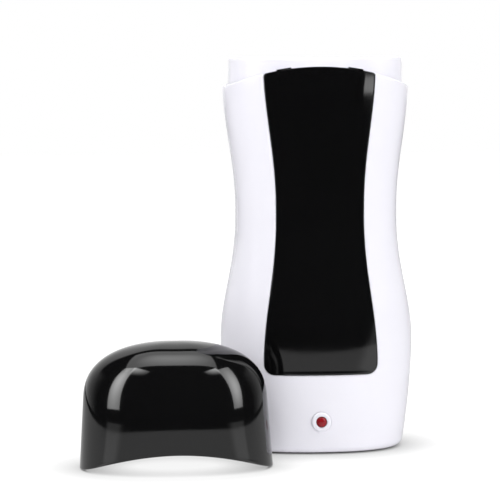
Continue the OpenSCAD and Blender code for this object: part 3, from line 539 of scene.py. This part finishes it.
def panel_border(g):
    """The panel's closed outline grown by g, as its bottom, top, left and right lines."""
    r, q = PANEL_R + g, PANEL_TOP_R + g
    top_z = SHOULDER_Z - PANEL_TOP_R
    low_x = float(panel_half(CORNER_Z)) - PANEL_R
    top_x = float(panel_half(top_z)) - PANEL_TOP_R

    def level(half, end, z):
        flat = [(x, z) for x in np.linspace(-end, end, 31)[1:-1]]
        return np.array([(-x, z) for x, z in half] + flat + half[::-1])

    bottom = level(rounding(low_x, CORNER_Z, r, -1, arc(5, 45, 90)), low_x, PANEL_BOTTOM - g)
    top = level(rounding(top_x, top_z, q, 1, arc(5, 45, 90)), top_x, top_z + q)
    right = rounding(low_x, CORNER_Z, r, -1, arc(5, 45, 0))
    right += [(float(panel_half(z)) + g, z) for z in panel_heights(top_z)]
    right += rounding(top_x, top_z, q, 1, arc(3, 0, 45)[1:])
    right = np.array(right)
    return bottom, top, right * np.array([-1.0, 1.0]), right


def panel_lift(z, lift):
    """How far the panel stands out: its lowest millimetres turn out a little."""
    t = np.clip((PANEL_BOTTOM + CURL_H - np.asarray(z, float)) / CURL_H, 0, 1)
    return lift + CURL * t * t


def turn_y(p, a):
    """Points turned by the angle a about the y axis."""
    c, s = math.cos(a), math.sin(a)
    x, y, z = p[..., 0], p[..., 1], p[..., 2]
    return np.stack([c * x + s * z, y, -s * x + c * z], -1)


def panel_mesh():
    sk = Skin()
    back = -PANEL_T + PROUD
    # round the edge from the face to the back: how far the outline is grown, and the lift
    steps = [(-0.42, PROUD), (-0.27, PROUD - 0.02), (-0.15, PROUD - 0.07), (-0.06, PROUD - 0.16),
             (-0.012, PROUD - 0.28), (0.0, PROUD - 0.42), (0.0, back + 0.15), (-0.15, back)]
    loops = []
    for g, lift in steps:
        b, t, l, r = panel_border(g)
        loop = np.concatenate([b, r[1:], t[::-1][1:], l[::-1][1:-1]])
        loops.append(on_front(loop[:, 0], loop[:, 1], lift=panel_lift(loop[:, 1], lift)))
    sk.grid(np.array(loops), close_cols=True)
    for g, lift in (steps[0], steps[-1]):
        p = coons(*panel_border(g))
        sk.grid(on_front(p[..., 0], p[..., 1], lift=panel_lift(p[..., 1], lift)))
    # hook tabs on the top edge
    depth = float(depth_at(HOOK_X, half_w(CREST_Z), half_d(CREST_Z), square_at(CREST_Z)))
    for side in (-1, 1):
        at = np.array([side * HOOK_X, -depth - PROUD + HOOK_IN, SHOULDER_Z + float(arch(HOOK_X))])
        slope = side * math.asin(HOOK_X / ARCH_R)
        add_block(sk, [-HOOK_HALF, 0.0, -HOOK_DOWN], [HOOK_HALF, HOOK_DEEP, HOOK_UP], HOOK_ROUND,
                  lambda p: turn_y(p, slope) + at)
    return sk.mesh("front_panel_skin")


# The neck collar
NECK_FIT, NECK_TAPER, NECK_STEPS = 0.15, 0.3, 192
THROAT_A, THROAT_B, THROAT_SQUARE = 27.0, 17.0, 3.6


def plan_ring(z, a, front, rear, n):
    """A closed ring at height z with half width a, two half depths and the plan exponent n."""
    t = np.linspace(0, 2 * np.pi, NECK_STEPS, endpoint=False)
    c, s = np.cos(t), np.sin(t)
    x, y = a * spow(c, 2 / n), np.where(s < 0, front, rear) * spow(s, 2 / n)
    return np.stack([x, y, np.full(NECK_STEPS, z)], -1)


def neck_ring(z, shrink):
    zc = min(z, CREST_Z)
    d = WALL + NECK_FIT + NECK_TAPER * float(np.clip((z - SHOULDER_Z) / NECK_H, 0, 1)) + shrink
    a, b = float(half_w(zc)) - d, float(half_d(zc)) - d
    return plan_ring(z, a, b - RECESS, b, float(square_at(zc)))


def throat_ring(z, grow):
    return plan_ring(z, THROAT_A + grow, THROAT_B + grow, THROAT_B + grow, THROAT_SQUARE)


def collar_mesh():
    sk = Skin()
    edge, bottom, under = 0.8, SHOULDER_Z - 2, TOP_Z - 2
    lip = under - 3.5       # the throat's lower end
    rings = [neck_ring(bottom + 0.2, 0)]
    rings += [neck_ring(z, 0) for z in np.linspace(bottom, TOP_Z - edge, 14)[1:]]
    rings += [neck_ring(TOP_Z - edge + edge * math.sin(t), edge * (1 - math.cos(t)))
              for t in arc(7, 0, 90)[1:]]
    rings += [throat_ring(TOP_Z - edge + edge * math.sin(t), 0.3 + edge * (1 - math.cos(t)))
              for t in arc(7, 90, 0)]
    rings += [throat_ring(z, grow) for z, grow in ((lip + 0.2, 0.3), (lip, 0.5), (lip, 1.5),
                                                   (lip + 0.2, 1.7), (under, 1.7))]
    rings += [neck_ring(z, shrink) for z, shrink in ((under, 1.6), (bottom + 0.2, 1.6),
                                                     (bottom, 1.4), (bottom, 0.2))]
    sk.grid(np.array(rings), close_rows=True, close_cols=True)
    return sk.mesh("neck_collar_skin")


# The cap. Its shapes follow c, the cosine of the plan angle: 1 and -1 at the ends, 0 at the front and back
CAP_X, CAP_Y, CAP_TURN = 58.3, 45.1, 0.9
CAP_H, CAP_SIDE, CAP_WALL = 48.95, 26.9, 2.0
CAP_A, CAP_B, CAP_SQUARE = 37.6, 25.95, 2.3
CAP_RISE = 8.35
CAP_ARCH_R = (CAP_A ** 2 + CAP_RISE ** 2) / (2 * CAP_RISE)
CAP_RIM_OUT, CAP_RIM_IN = 0.55, 0.3
SIDE_MID, SIDE_DIP, SIDE_LOW = 17.2, 3.4, 13.8
LEAN, LEAN_ENDS, LEAN_RIGHT, LEAN_OVER = 0.42, 1.43, 0.27, 6.0
DOME, DOME_ENDS, DOME_TIPS = 2.08, 0.68, 0.36
CAP_STEPS = 224


def cap_side(c):
    """Height of the shoulder line round the cap: high at the two ends, lower all along between them."""
    return SIDE_MID - SIDE_DIP * c * c + (CAP_SIDE - SIDE_LOW) * np.abs(c) ** 10


def cap_in(z, c):
    """How far the wall has drawn in at height z; the ends lean more than the front and back."""
    side = cap_side(c)
    over = np.maximum(z - side, 0.0)
    lean = LEAN + LEAN_ENDS * c * c + LEAN_RIGHT * c ** 3
    return lean / side * (np.minimum(z, side) + LEAN_OVER * (1 - np.exp(-over / LEAN_OVER)))


def cap_rim(x):
    """Height of the rim's arch at distance x from the cap's middle."""
    x = np.clip(np.abs(x), 0, CAP_A)
    return np.maximum(CAP_RISE - CAP_ARCH_R + np.sqrt(CAP_ARCH_R ** 2 - x ** 2), 0)


def cap_surface(t_row, inset):
    """Rings of the cap's surface: t is 0 at the rim, 1 at the shoulder line and 2 at the dome's top."""
    th = np.linspace(0, 2 * np.pi, CAP_STEPS, endpoint=False)
    c, s = np.cos(th), np.sin(th)
    side = cap_side(c)
    cx, sy = spow(c, 2 / CAP_SQUARE), spow(s, 2 / CAP_SQUARE)
    rings = []
    for t in t_row:
        if t <= 1:
            x = (CAP_A - inset) * cx
            for _ in range(4):
                rim = cap_rim(x)
                z = rim + (side - rim) * t
                e = cap_in(z, c)
                x = (CAP_A - inset - e) * cx
            y = (CAP_B - inset - e) * sy
        else:
            ph = (t - 1) * math.pi / 2
            m = DOME + DOME_ENDS * c * c - DOME_TIPS * c ** 8
            k = np.clip(math.cos(ph), 0.0, 1.0) ** (2 / m)
            z = side + (CAP_H - side - inset) * math.sin(ph) ** (2 / m)
            e = cap_in(z, c) + inset
            x, y = (CAP_A - e) * k * cx, (CAP_B - e) * k * sy
        rings.append(np.stack([x, y, z], -1))
    return rings


def cap_mesh():
    sk = Skin()
    # the wall's first row stands clear of the rim's rounding
    rows = [0.0] + list(np.linspace(0.09, 1, 25)) + list(1 + np.linspace(0, 1, 42)[1:-1])
    outer, inner = cap_surface(rows, 0.0), cap_surface(rows, CAP_WALL)
    # the rim's rounded edges
    d = inner[0] - outer[0]
    d[:, 2] = 0
    width = np.linalg.norm(d, axis=1, keepdims=True)
    d = d / width

    def rim_ring(inward, up):
        p = outer[0] + d * inward
        p[:, 2] += up
        return p

    ro, ri = CAP_RIM_OUT, CAP_RIM_IN
    rim = [rim_ring(ro * (1 - math.cos(t)), ro * (1 - math.sin(t))) for t in arc(6, 0, 90)]
    rim += [rim_ring(width - ri * (1 - math.cos(t)), ri * (1 - math.sin(t))) for t in arc(4, 90, 0)]
    rings = outer[:0:-1] + rim + inner[1:]
    cs, sn = math.cos(math.radians(CAP_TURN)), math.sin(math.radians(CAP_TURN))

    def place(p):
        x, y = p[..., 0], p[..., 1]
        return np.stack([cs * x - sn * y - CAP_X, sn * x + cs * y - CAP_Y, p[..., 2]], -1)

    sk.grid(place(np.array(rings)), close_cols=True)
    sk.fan(place(rings[0]), place(np.array([0, 0, CAP_H])))
    sk.fan(place(rings[-1]), place(np.array([0, 0, CAP_H - CAP_WALL])))
    return sk.mesh("cap_skin")


# Materials
NOISE_LOW, NOISE_HIGH = 0.3, 0.7        # a noise texture's values mostly stay between them


class Nodes:
    """Short calls for the nodes of one node tree; a value is a number or another node's output."""

    def __init__(self, tree):
        self.tree = tree

    def new(self, kind, **values):
        n = self.tree.nodes.new("ShaderNode" + kind)
        for name, v in values.items():
            self.put(v, n.inputs[name])
        return n

    def find(self, kind):
        return next(n for n in self.tree.nodes if n.type == kind)

    def put(self, v, socket):
        if isinstance(v, bpy.types.NodeSocket):
            self.tree.links.new(v, socket)
        else:
            socket.default_value = v

    def math(self, op, a, b=None, clamp=False):
        n = self.new("Math")
        n.operation, n.use_clamp = op, clamp
        self.put(a, n.inputs[0])
        if b is not None:
            self.put(b, n.inputs[1])
        return n.outputs[0]

    def ramp(self, v, start, end, low, high, smooth=True):
        """Takes v from low at start to high at end."""
        n = self.new("MapRange", Value=v)
        n.interpolation_type = "SMOOTHSTEP" if smooth else "LINEAR"
        for name, limit in (("From Min", start), ("From Max", end), ("To Min", low), ("To Max", high)):
            n.inputs[name].default_value = limit
        return n.outputs["Result"]

    def length(self, u, v):
        return self.math("SQRT", self.math("ADD", self.math("MULTIPLY", u, u), self.math("MULTIPLY", v, v)))

    def parts(self, vector):
        return self.new("SeparateXYZ", Vector=vector).outputs

    def place(self, kind):
        return self.new("TexCoord").outputs[kind]


def plastic(name, dark, light, rough, rough_var, bump, grain=900, bump_scale=1600, mottle=9, lines=None,
            metallic=0.0, transmission=0.0, ior=1.5, sub=0.0):
    """Colour that drifts between two tones, roughness with a fine grain, and a light bump."""
    m = bpy.data.materials.new(name)
    m.use_nodes = True
    t = Nodes(m.node_tree)
    b = t.find("BSDF_PRINCIPLED")
    place = t.place("Object")
    drift = t.new("TexNoise", Scale=mottle, Detail=5, Vector=place)
    tones = t.new("ValToRGB", Fac=drift.outputs["Fac"])
    for stop, at, tone in zip(tones.color_ramp.elements, (NOISE_LOW, NOISE_HIGH), (dark, light)):
        stop.position, stop.color = at, (*tone, 1)
    t.put(tones.outputs["Color"], b.inputs["Base Color"])
    fine = t.new("TexNoise", Scale=grain, Detail=3, Vector=place)
    sheen = t.ramp(fine.outputs["Fac"], NOISE_LOW, NOISE_HIGH, rough - rough_var, rough + rough_var, False)
    t.put(sheen, b.inputs["Roughness"])
    if lines:
        place = t.new("Mapping", Vector=place, Scale=lines).outputs["Vector"]
    rough_tex = t.new("TexNoise", Scale=bump_scale, Detail=2, Vector=place)
    bumps = t.new("Bump", Strength=bump, Distance=0.0002, Height=rough_tex.outputs["Fac"])
    t.put(bumps.outputs["Normal"], b.inputs["Normal"])
    for socket, v in (("Metallic", metallic), ("IOR", ior), ("Transmission Weight", transmission),
                      ("Subsurface Weight", sub), ("Subsurface Radius", (1.0, 0.9, 0.95)),
                      ("Subsurface Scale", 0.002)):
        b.inputs[socket].default_value = v
    return m


# Per material: dark and light tone, roughness and its spread, bump, and what else plastic() takes
LOOKS = {
    "white_casing": ((0.80, 0.79, 0.855), (0.82, 0.81, 0.87), 0.24, 0.02, 0.015, {}),
    "white_plastic": ((0.76, 0.76, 0.79), (0.79, 0.79, 0.82), 0.42, 0.05, 0.12, {}),
    "black_gloss": ((0.0022, 0.0022, 0.0024), (0.0034, 0.0034, 0.0036), 0.07, 0.012, 0.004,
                    {"grain": 300, "ior": 1.6}),
    "red_lens": ((0.22, 0.006, 0.010), (0.28, 0.009, 0.015), 0.08, 0.01, 0.01, {"sub": 0.2}),
    "lamp_glass": ((0.80, 0.84, 0.86), (0.88, 0.9, 0.92), 0.05, 0.01, 0.01, {"transmission": 0.8}),
    "dark_plastic": ((0.012, 0.012, 0.013), (0.02, 0.02, 0.022), 0.38, 0.06, 0.15, {}),
    "sleeve_aluminium": ((0.62, 0.63, 0.65), (0.70, 0.71, 0.73), 0.34, 0.06, 0.15,
                         {"metallic": 1.0, "lines": (30, 30, 900), "bump_scale": 2}),
    "silicone": ((0.10, 0.10, 0.11), (0.13, 0.13, 0.14), 0.6, 0.06, 0.2, {}),
    "heater_case": ((0.50, 0.51, 0.53), (0.58, 0.59, 0.61), 0.4, 0.06, 0.1, {"metallic": 1.0}),
    "mica": ((0.36, 0.27, 0.15), (0.48, 0.38, 0.22), 0.5, 0.1, 0.25, {"mottle": 220}),
    "spring_steel": ((0.50, 0.51, 0.53), (0.58, 0.59, 0.61), 0.28, 0.05, 0.08, {"metallic": 1.0}),
    "screw_steel": ((0.36, 0.37, 0.39), (0.44, 0.45, 0.47), 0.3, 0.06, 0.1, {"metallic": 1.0}),
    "fuse_brass": ((0.62, 0.45, 0.18), (0.70, 0.53, 0.24), 0.3, 0.06, 0.06, {"metallic": 1.0}),
    "pin_metal": ((0.66, 0.66, 0.68), (0.74, 0.74, 0.76), 0.2, 0.04, 0.04, {"metallic": 1.0}),
    "rubber_pad": ((0.018, 0.018, 0.019), (0.028, 0.028, 0.03), 0.7, 0.08, 0.5, {"bump_scale": 900}),
    "wire_brown": ((0.10, 0.035, 0.012), (0.13, 0.05, 0.02), 0.4, 0.05, 0.05, {}),
    "wire_white": ((0.70, 0.70, 0.68), (0.76, 0.76, 0.74), 0.4, 0.05, 0.05, {}),
    "wire_blue": ((0.01, 0.06, 0.28), (0.02, 0.09, 0.36), 0.4, 0.05, 0.05, {}),
    "wire_grey": ((0.2, 0.2, 0.21), (0.25, 0.25, 0.26), 0.4, 0.05, 0.05, {}),
}
MAT = {name: plastic(name, *look, **more) for name, (*look, more) in LOOKS.items()}
SLOT_OF = {s["node"]: s["material_slot"] for s in frame["record"]["subparts"]}
for node, o in frame["nodes"].items():
    if not o.material_slots:
        o.data.materials.append(MAT[SLOT_OF[node]])
    for s in o.material_slots:
        s.material = MAT[SLOT_OF[node]]

# The pieces. The indicator stands low on the front, in a seat and a hole of the front shell
IND_Z = 13.4
IND_Y = -float(depth_at(0.0, half_w(IND_Z), half_d(IND_Z), square_at(IND_Z)))
IND_SEAT_R, IND_HOLE_R = 4.15, 3.1
BEZEL_R, BEZEL_TUBE_R, BEZEL_BORE_R, BEZEL_ROUND, BORE_ROUND = 4.0, 3.0, 2.2, 0.75, 0.35
BEZEL_OUT, BEZEL_SEAT, BEZEL_END = -1.0, 0.4, 6.0       # depths, seen from the casing's surface
LENS_R, LENS_RISE, LENS_TIP, LENS_END = 2.1, 1.1, -1.5, 2.2
# the rear shell's screw seats and the mains inlet's opening
BOSS_X, BOSS_Z, SCREW_SEAT_R = 28.0 + 0.35 + 2.9, SHOULDER_Z - 12.5, 2.15
INLET_Z, INLET_HALF_W, INLET_HALF_H, INLET_ROUND = 16, 9.65, 6.15, 0.8
BEHIND_Y = 40.0         # past the casing's back

front = cut(front_shell_mesh(),
            [cylinder_mesh("tool_a", IND_SEAT_R, IND_Y - 3, IND_Y + 0.5, (0, IND_Z)),
             cylinder_mesh("tool_b", IND_HOLE_R, IND_Y - 2, IND_Y + 6, (0, IND_Z))])
finish_piece("front_casing", front, "warmer", "white_casing", ["front_shell"])

rear = rear_shell_mesh()
tools = [cylinder_mesh("tool_c", SCREW_SEAT_R, 8.0, BEHIND_Y, (s * BOSS_X, BOSS_Z), 64) for s in (-1, 1)]
sk = Skin()
add_block(sk, [-INLET_HALF_W, 18.0, INLET_Z - INLET_HALF_H],
          [INLET_HALF_W, BEHIND_Y, INLET_Z + INLET_HALF_H], INLET_ROUND, lambda p: p, n=4)
rear = cut(rear, tools + [sk.mesh("tool_d")])
finish_piece("rear_casing", rear, "warmer", "white_casing", ["rear_shell"])

finish_piece("gloss_panel", panel_mesh(), "warmer", "black_gloss", ["front_panel"])
finish_piece("neck_ring", collar_mesh(), "warmer", "white_casing", ["neck_collar"])
finish_piece("cap_dome", cap_mesh(), "cap", "black_gloss", ["cap"])

sk = Skin()
profile = [(BEZEL_BORE_R, BEZEL_END), (BEZEL_BORE_R, -0.55)]
profile += [(BEZEL_BORE_R + BORE_ROUND * (1 - math.cos(t)), -0.65 - BORE_ROUND * math.sin(t))
            for t in arc(5, 0, 90)]
profile += [(BEZEL_R - BEZEL_ROUND + BEZEL_ROUND * math.sin(t), BEZEL_OUT + BEZEL_ROUND * (1 - math.cos(t)))
            for t in arc(8, 0, 90)]
profile += [(BEZEL_R, BEZEL_SEAT), (BEZEL_TUBE_R, BEZEL_SEAT), (BEZEL_TUBE_R, BEZEL_END)]
lathe(sk, profile, (0, IND_Y, IND_Z), close=True)
bezel = sk.mesh("indicator_ring_skin")
finish_piece("indicator_ring", bezel, "warmer", "white_casing", ["indicator_bezel"])

sk = Skin()
ball = (LENS_R ** 2 + LENS_RISE ** 2) / (2 * LENS_RISE)
profile = [(ball * math.sin(t), LENS_TIP + ball - ball * math.cos(t))
           for t in np.linspace(0.03, math.asin(LENS_R / ball), 14)]
profile += [(LENS_R, 2.1), (LENS_R - 0.1, LENS_END), (0.2, LENS_END)]
lathe(sk, profile, (0, IND_Y, IND_Z))
for (r, y), tip in ((profile[0], LENS_TIP), (profile[-1], LENS_END)):
    sk.fan(circle(r, IND_Y + y, (0, IND_Z)), (0, IND_Y + tip, IND_Z))
lens = sk.mesh("indicator_dome_skin")
finish_piece("indicator_dome", lens, "warmer", "red_lens", ["indicator_lens"], sharp=50)

# The floor: white to the camera, with the object's shadow, partly cast by the lamps and partly a painted
# contact shadow, and a table with an edge in reflections
FLOOR_HALF = 2600
FLOOR_GLOW, FLOOR_TONE, FLOOR_TONE_SEEN = 0.91, 0.88, 0.17
# how far the painted contact shadow reaches, and how hard it darkens
PAINTED_SHADOW_REACH, PAINTED_SHADOW_POWER = 0.020, 0.8
TABLE_EDGE, TABLE_GLOW, BEYOND_GLOW = (0.284, 0.304), 0.60, 0.015
# the two pale wedges, painted pools of the big lamps' light that only reflections see: where they start, and
# their edges as slopes across to ahead
WEDGE_X, WEDGE_Y, WEDGE_HALF = 0.058, 0.058, 0.023
WEDGE_IN, WEDGE_OUT, LAMP_POOL_GLOW = (0.9, 1.4), (2.4, 3.6), 0.40


def floor_material():
    m = bpy.data.materials.new("floor_white")
    m.use_nodes = True
    t = Nodes(m.node_tree)
    b = t.find("BSDF_PRINCIPLED")
    b.inputs["Roughness"].default_value = 0.7
    b.inputs["Specular IOR Level"].default_value = 0.0
    ray = t.new("LightPath").outputs
    xyz = t.parts(t.place("Object"))
    x, y = xyz["X"], xyz["Y"]
    far = t.length(t.math("MULTIPLY", x, 0.6), t.math("MINIMUM", y, 0.0))
    table = t.ramp(far, *TABLE_EDGE, TABLE_GLOW, BEYOND_GLOW)
    # paler where the two big lamps light it, as the cap shows it: painted light, not cast by the lamps
    out_x = t.math("SUBTRACT", t.math("ABSOLUTE", t.math("ADD", x, WEDGE_X)), WEDGE_HALF)
    out_y = t.math("MAXIMUM", t.math("SUBTRACT", t.math("MULTIPLY", y, -1.0), WEDGE_Y), 0.001)
    slope = t.math("DIVIDE", out_x, out_y)
    lamp_pool = t.math("MULTIPLY", t.ramp(slope, *WEDGE_IN, 0.0, LAMP_POOL_GLOW), t.ramp(slope, *WEDGE_OUT, 1.0, 0.0))
    mirror = t.new("Emission", Strength=t.math("ADD", table, lamp_pool))
    # to the camera it glows, a little dimmer close to the object, and darker where something stands close to
    # it: a painted contact shadow
    t.put(t.ramp(ray["Is Camera Ray"], 0.0, 1.0, FLOOR_TONE, FLOOR_TONE_SEEN), b.inputs["Base Color"])
    away = t.math("ADD", t.math("POWER", x, 2.0), t.math("POWER", y, 2.0))
    # ambient occlusion, which paints the contact shadow into the glow
    close = t.new("AmbientOcclusion", Distance=PAINTED_SHADOW_REACH)
    seen = t.math("ADD", ray["Is Camera Ray"], ray["Is Transmission Ray"], True)
    seen = t.math("MULTIPLY", seen, t.math("POWER", close.outputs["AO"], PAINTED_SHADOW_POWER))
    glow = t.new("Emission", Strength=t.math("MULTIPLY", seen, t.ramp(away, 0.02, 0.30, FLOOR_GLOW, 1.0)))
    add = t.new("AddShader")
    t.put(b.outputs["BSDF"], add.inputs[0])
    t.put(glow.outputs["Emission"], add.inputs[1])
    mix = t.new("MixShader", Fac=ray["Is Glossy Ray"])
    t.put(add.outputs["Shader"], mix.inputs[1])
    t.put(mirror.outputs["Emission"], mix.inputs[2])
    t.put(mix.outputs["Shader"], t.find("OUTPUT_MATERIAL").inputs["Surface"])
    return m


sk = Skin()
line = np.linspace(-1, 1, 9) * FLOOR_HALF
floor_x, floor_y = np.meshgrid(line, line)
sk.grid(np.stack([floor_x, floor_y, np.zeros_like(floor_x)], -1))
floor = bpy.data.objects.new("floor", sk.mesh("floor_skin"))
SCENE.collection.objects.link(floor)
floor.data.materials.append(floor_material())

# The world: white to the camera; a studio that is dark at the front (-y), paler at the sides and behind
SIDE_LIGHT, BACK_LIGHT, ROOM_LIGHT, BEHIND_LIGHT = 0.27, 0.70, 0.02, 0.9
# where each fades, as parts of a direction: y for side and back, z for their top
SIDE_FADE, BACK_FADE, TOP_FADE = (0.05, 0.35), (0.72, 0.90), (0.50, 0.62)
BEHIND_TURN, BEHIND_RISE = (0.20, 0.85), (1.35, 1.60)


def set_world():
    world = SCENE.world or bpy.data.worlds.new("World")
    SCENE.world = world
    world.use_nodes = True
    world.node_tree.nodes.clear()
    t = Nodes(world.node_tree)
    ray = t.new("LightPath").outputs
    xyz = t.parts(t.place("Generated"))
    y, z = xyz["Y"], xyz["Z"]
    low = t.ramp(z, *TOP_FADE, 1.0, 0.0)
    side = t.math("MULTIPLY", t.ramp(y, *SIDE_FADE, 0.0, SIDE_LIGHT), low)
    back = t.math("MULTIPLY", t.ramp(y, *BACK_FADE, 0.0, BACK_LIGHT), low)
    room = t.math("ADD", t.math("ADD", side, back), ROOM_LIGHT)
    studio = t.new("Background", Color=(1, 1, 1, 1), Strength=room)
    white = t.new("Background", Color=(1, 1, 1, 1), Strength=1.0)
    # reflections see the white too, straight behind the object and low
    flat = t.math("SQRT", t.math("SUBTRACT", 1.0, t.math("POWER", z, 2.0)))
    turn = t.math("DIVIDE", y, flat)
    rise = t.math("DIVIDE", z, t.math("MAXIMUM", y, 0.05))
    behind = t.math("MULTIPLY", t.ramp(turn, *BEHIND_TURN, 0.0, BEHIND_LIGHT),
                    t.ramp(rise, *BEHIND_RISE, 1.0, 0.0))
    behind = t.math("MULTIPLY", ray["Is Glossy Ray"], behind)
    seen = t.math("ADD", ray["Is Camera Ray"], ray["Is Transmission Ray"], True)
    mix = t.new("MixShader", Fac=t.math("ADD", seen, behind, True))
    t.put(studio.outputs["Background"], mix.inputs[1])
    t.put(white.outputs["Background"], mix.inputs[2])
    t.put(mix.outputs["Shader"], t.new("OutputWorld").inputs["Surface"])


set_world()


# The lamps, in metres
def square_to(light, x_axis, y_axis):
    """Turns a lamp so that its sides run along the two axes, and it shines against their cross product."""
    x, y = Vector(x_axis).normalized(), Vector(y_axis)
    z = x.cross(y).normalized()
    light.rotation_euler = Matrix((x, z.cross(x), z)).transposed().to_euler()


def area(name, where, size, power, at=None, axes=None):
    """A lamp the camera doesn't see, turned towards the point at or with its sides along two axes."""
    data = bpy.data.lights.new(name, "AREA")
    data.shape = "RECTANGLE"
    data.size, data.size_y = size
    data.energy = power
    light = bpy.data.objects.new(name, data)
    SCENE.collection.objects.link(light)
    light.location = where
    light.visible_camera = False
    if axes:
        square_to(light, *axes)
    else:
        light.rotation_euler = (Vector(at) - Vector(where)).to_track_quat("-Z", "Y").to_euler()
    return light


def soft(light, at_uv, reach, low, high):
    """Makes a softbox brighter round one place: high there, low at a distance of reach from it."""
    light.data.use_nodes = True
    t = Nodes(light.data.node_tree)
    uv = t.parts(t.new("NewGeometry").outputs["Parametric"])
    du, dv = (t.math("MULTIPLY", t.math("SUBTRACT", uv[k], o), 1 / r)
              for k, o, r in zip("XY", at_uv, reach))
    t.put(t.ramp(t.length(du, dv), 0.0, 1.0, high, low), t.find("EMISSION").inputs["Strength"])


CAP_POINT = (-0.058, -0.045, 0.04)
left = area("left_box", (-0.691, -0.284, 0.631), (0.300, 1.0), 4.85,
            axes=((0.7941, -0.6071, 0.0292), (0.1373, 0.226, 0.9644)))
right = area("right_box", (0.679, -0.320, 0.48), (0.294, 0.85), 3.4,
             axes=((0.5598, 0.8283, -0.0243), (-0.5956, 0.4227, 0.6832)))
for box in (left, right):
    soft(box, (0.5, 0.5), (0.75, 0.62), 0.55, 1.35)
tip = area("left_tip", (-0.400, -0.345, 0.819), (0.27, 0.20), 0.34, at=CAP_POINT)
soft(tip, (0.1, 1.0), (1.2, 1.1), 0.0, 2.7)
tip = area("right_tip", (0.330, -0.349, 0.790), (0.22, 0.17), 0.25, at=CAP_POINT)
soft(tip, (0.9, 1.0), (1.2, 1.1), 0.0, 2.7)
area("right_card", (0.204, -0.220, 0.138), (0.0615, 0.059), 0.0325,
     axes=((0.692, 0.722, 0.0), (0.6886, -0.6599, 0.2924)))
top = area("top_box", (-0.123, 0.218, 1.06), (0.805, 1.11), 4.9, axes=((1, 0, 0), (0, 0.798, 0.771)))
soft(top, (0.58, 0.23), (0.45, 0.40), 0.75, 1.7)
# fills, which reflections don't show
for name, where, size, power, at in (
        ("front_fill", (0.05, -1.02, 0.26), (0.85, 0.42), 4.9, (0, 0, 0.06)),
        ("sky", (0.05, -0.15, 1.35), (1.3, 1.0), 6.6, (0.05, -0.15, 0)),
        ("left_fill", (-0.95, 0.02, 0.34), (0.5, 0.6), 0.4, (0, 0, 0.08)),
        ("right_fill", (0.95, 0.02, 0.34), (0.5, 0.6), 0.1, (0, 0, 0.08))):
    area(name, where, size, power, at=at).visible_glossy = False

# The photo's camera: focal length in pixels, height, distance and shift in millimetres
FOCAL_PX, PHOTO_PX, SENSOR = 2317.06, 500.0, 36.0
CAM_UP, CAM_BACK, CAM_LEFT = 162.05, 940.09, 26.696
PITCH, YAW, ROLL = math.radians(4.987), math.radians(3.03), math.radians(-0.350)
ahead = Vector((math.sin(YAW), math.cos(YAW), 0))
level = Vector((math.cos(YAW), -math.sin(YAW), 0))
plumb = Vector((0, 0, 1))
eye = -CAM_BACK * ahead - CAM_LEFT * level + CAM_UP * plumb
forward = ahead * math.cos(PITCH) - plumb * math.sin(PITCH)
up = ahead * math.sin(PITCH) + plumb * math.cos(PITCH)
cos_r, sin_r = math.cos(ROLL), math.sin(ROLL)
cam_x, cam_y = level * cos_r + up * sin_r, up * cos_r - level * sin_r
cam = bpy.data.cameras.new("camera")
cam.sensor_fit, cam.sensor_width = "HORIZONTAL", SENSOR
cam.lens = FOCAL_PX * SENSOR / PHOTO_PX
cam.clip_start, cam.clip_end = 0.01, 20
camera = bpy.data.objects.new("camera", cam)
SCENE.collection.objects.link(camera)
camera.matrix_world = Matrix((*((cam_x[i], cam_y[i], -forward[i], eye[i] * MM) for i in range(3)),
                              (0, 0, 0, 1)))
SCENE.camera = camera
SCENE.view_settings.view_transform = "Standard"
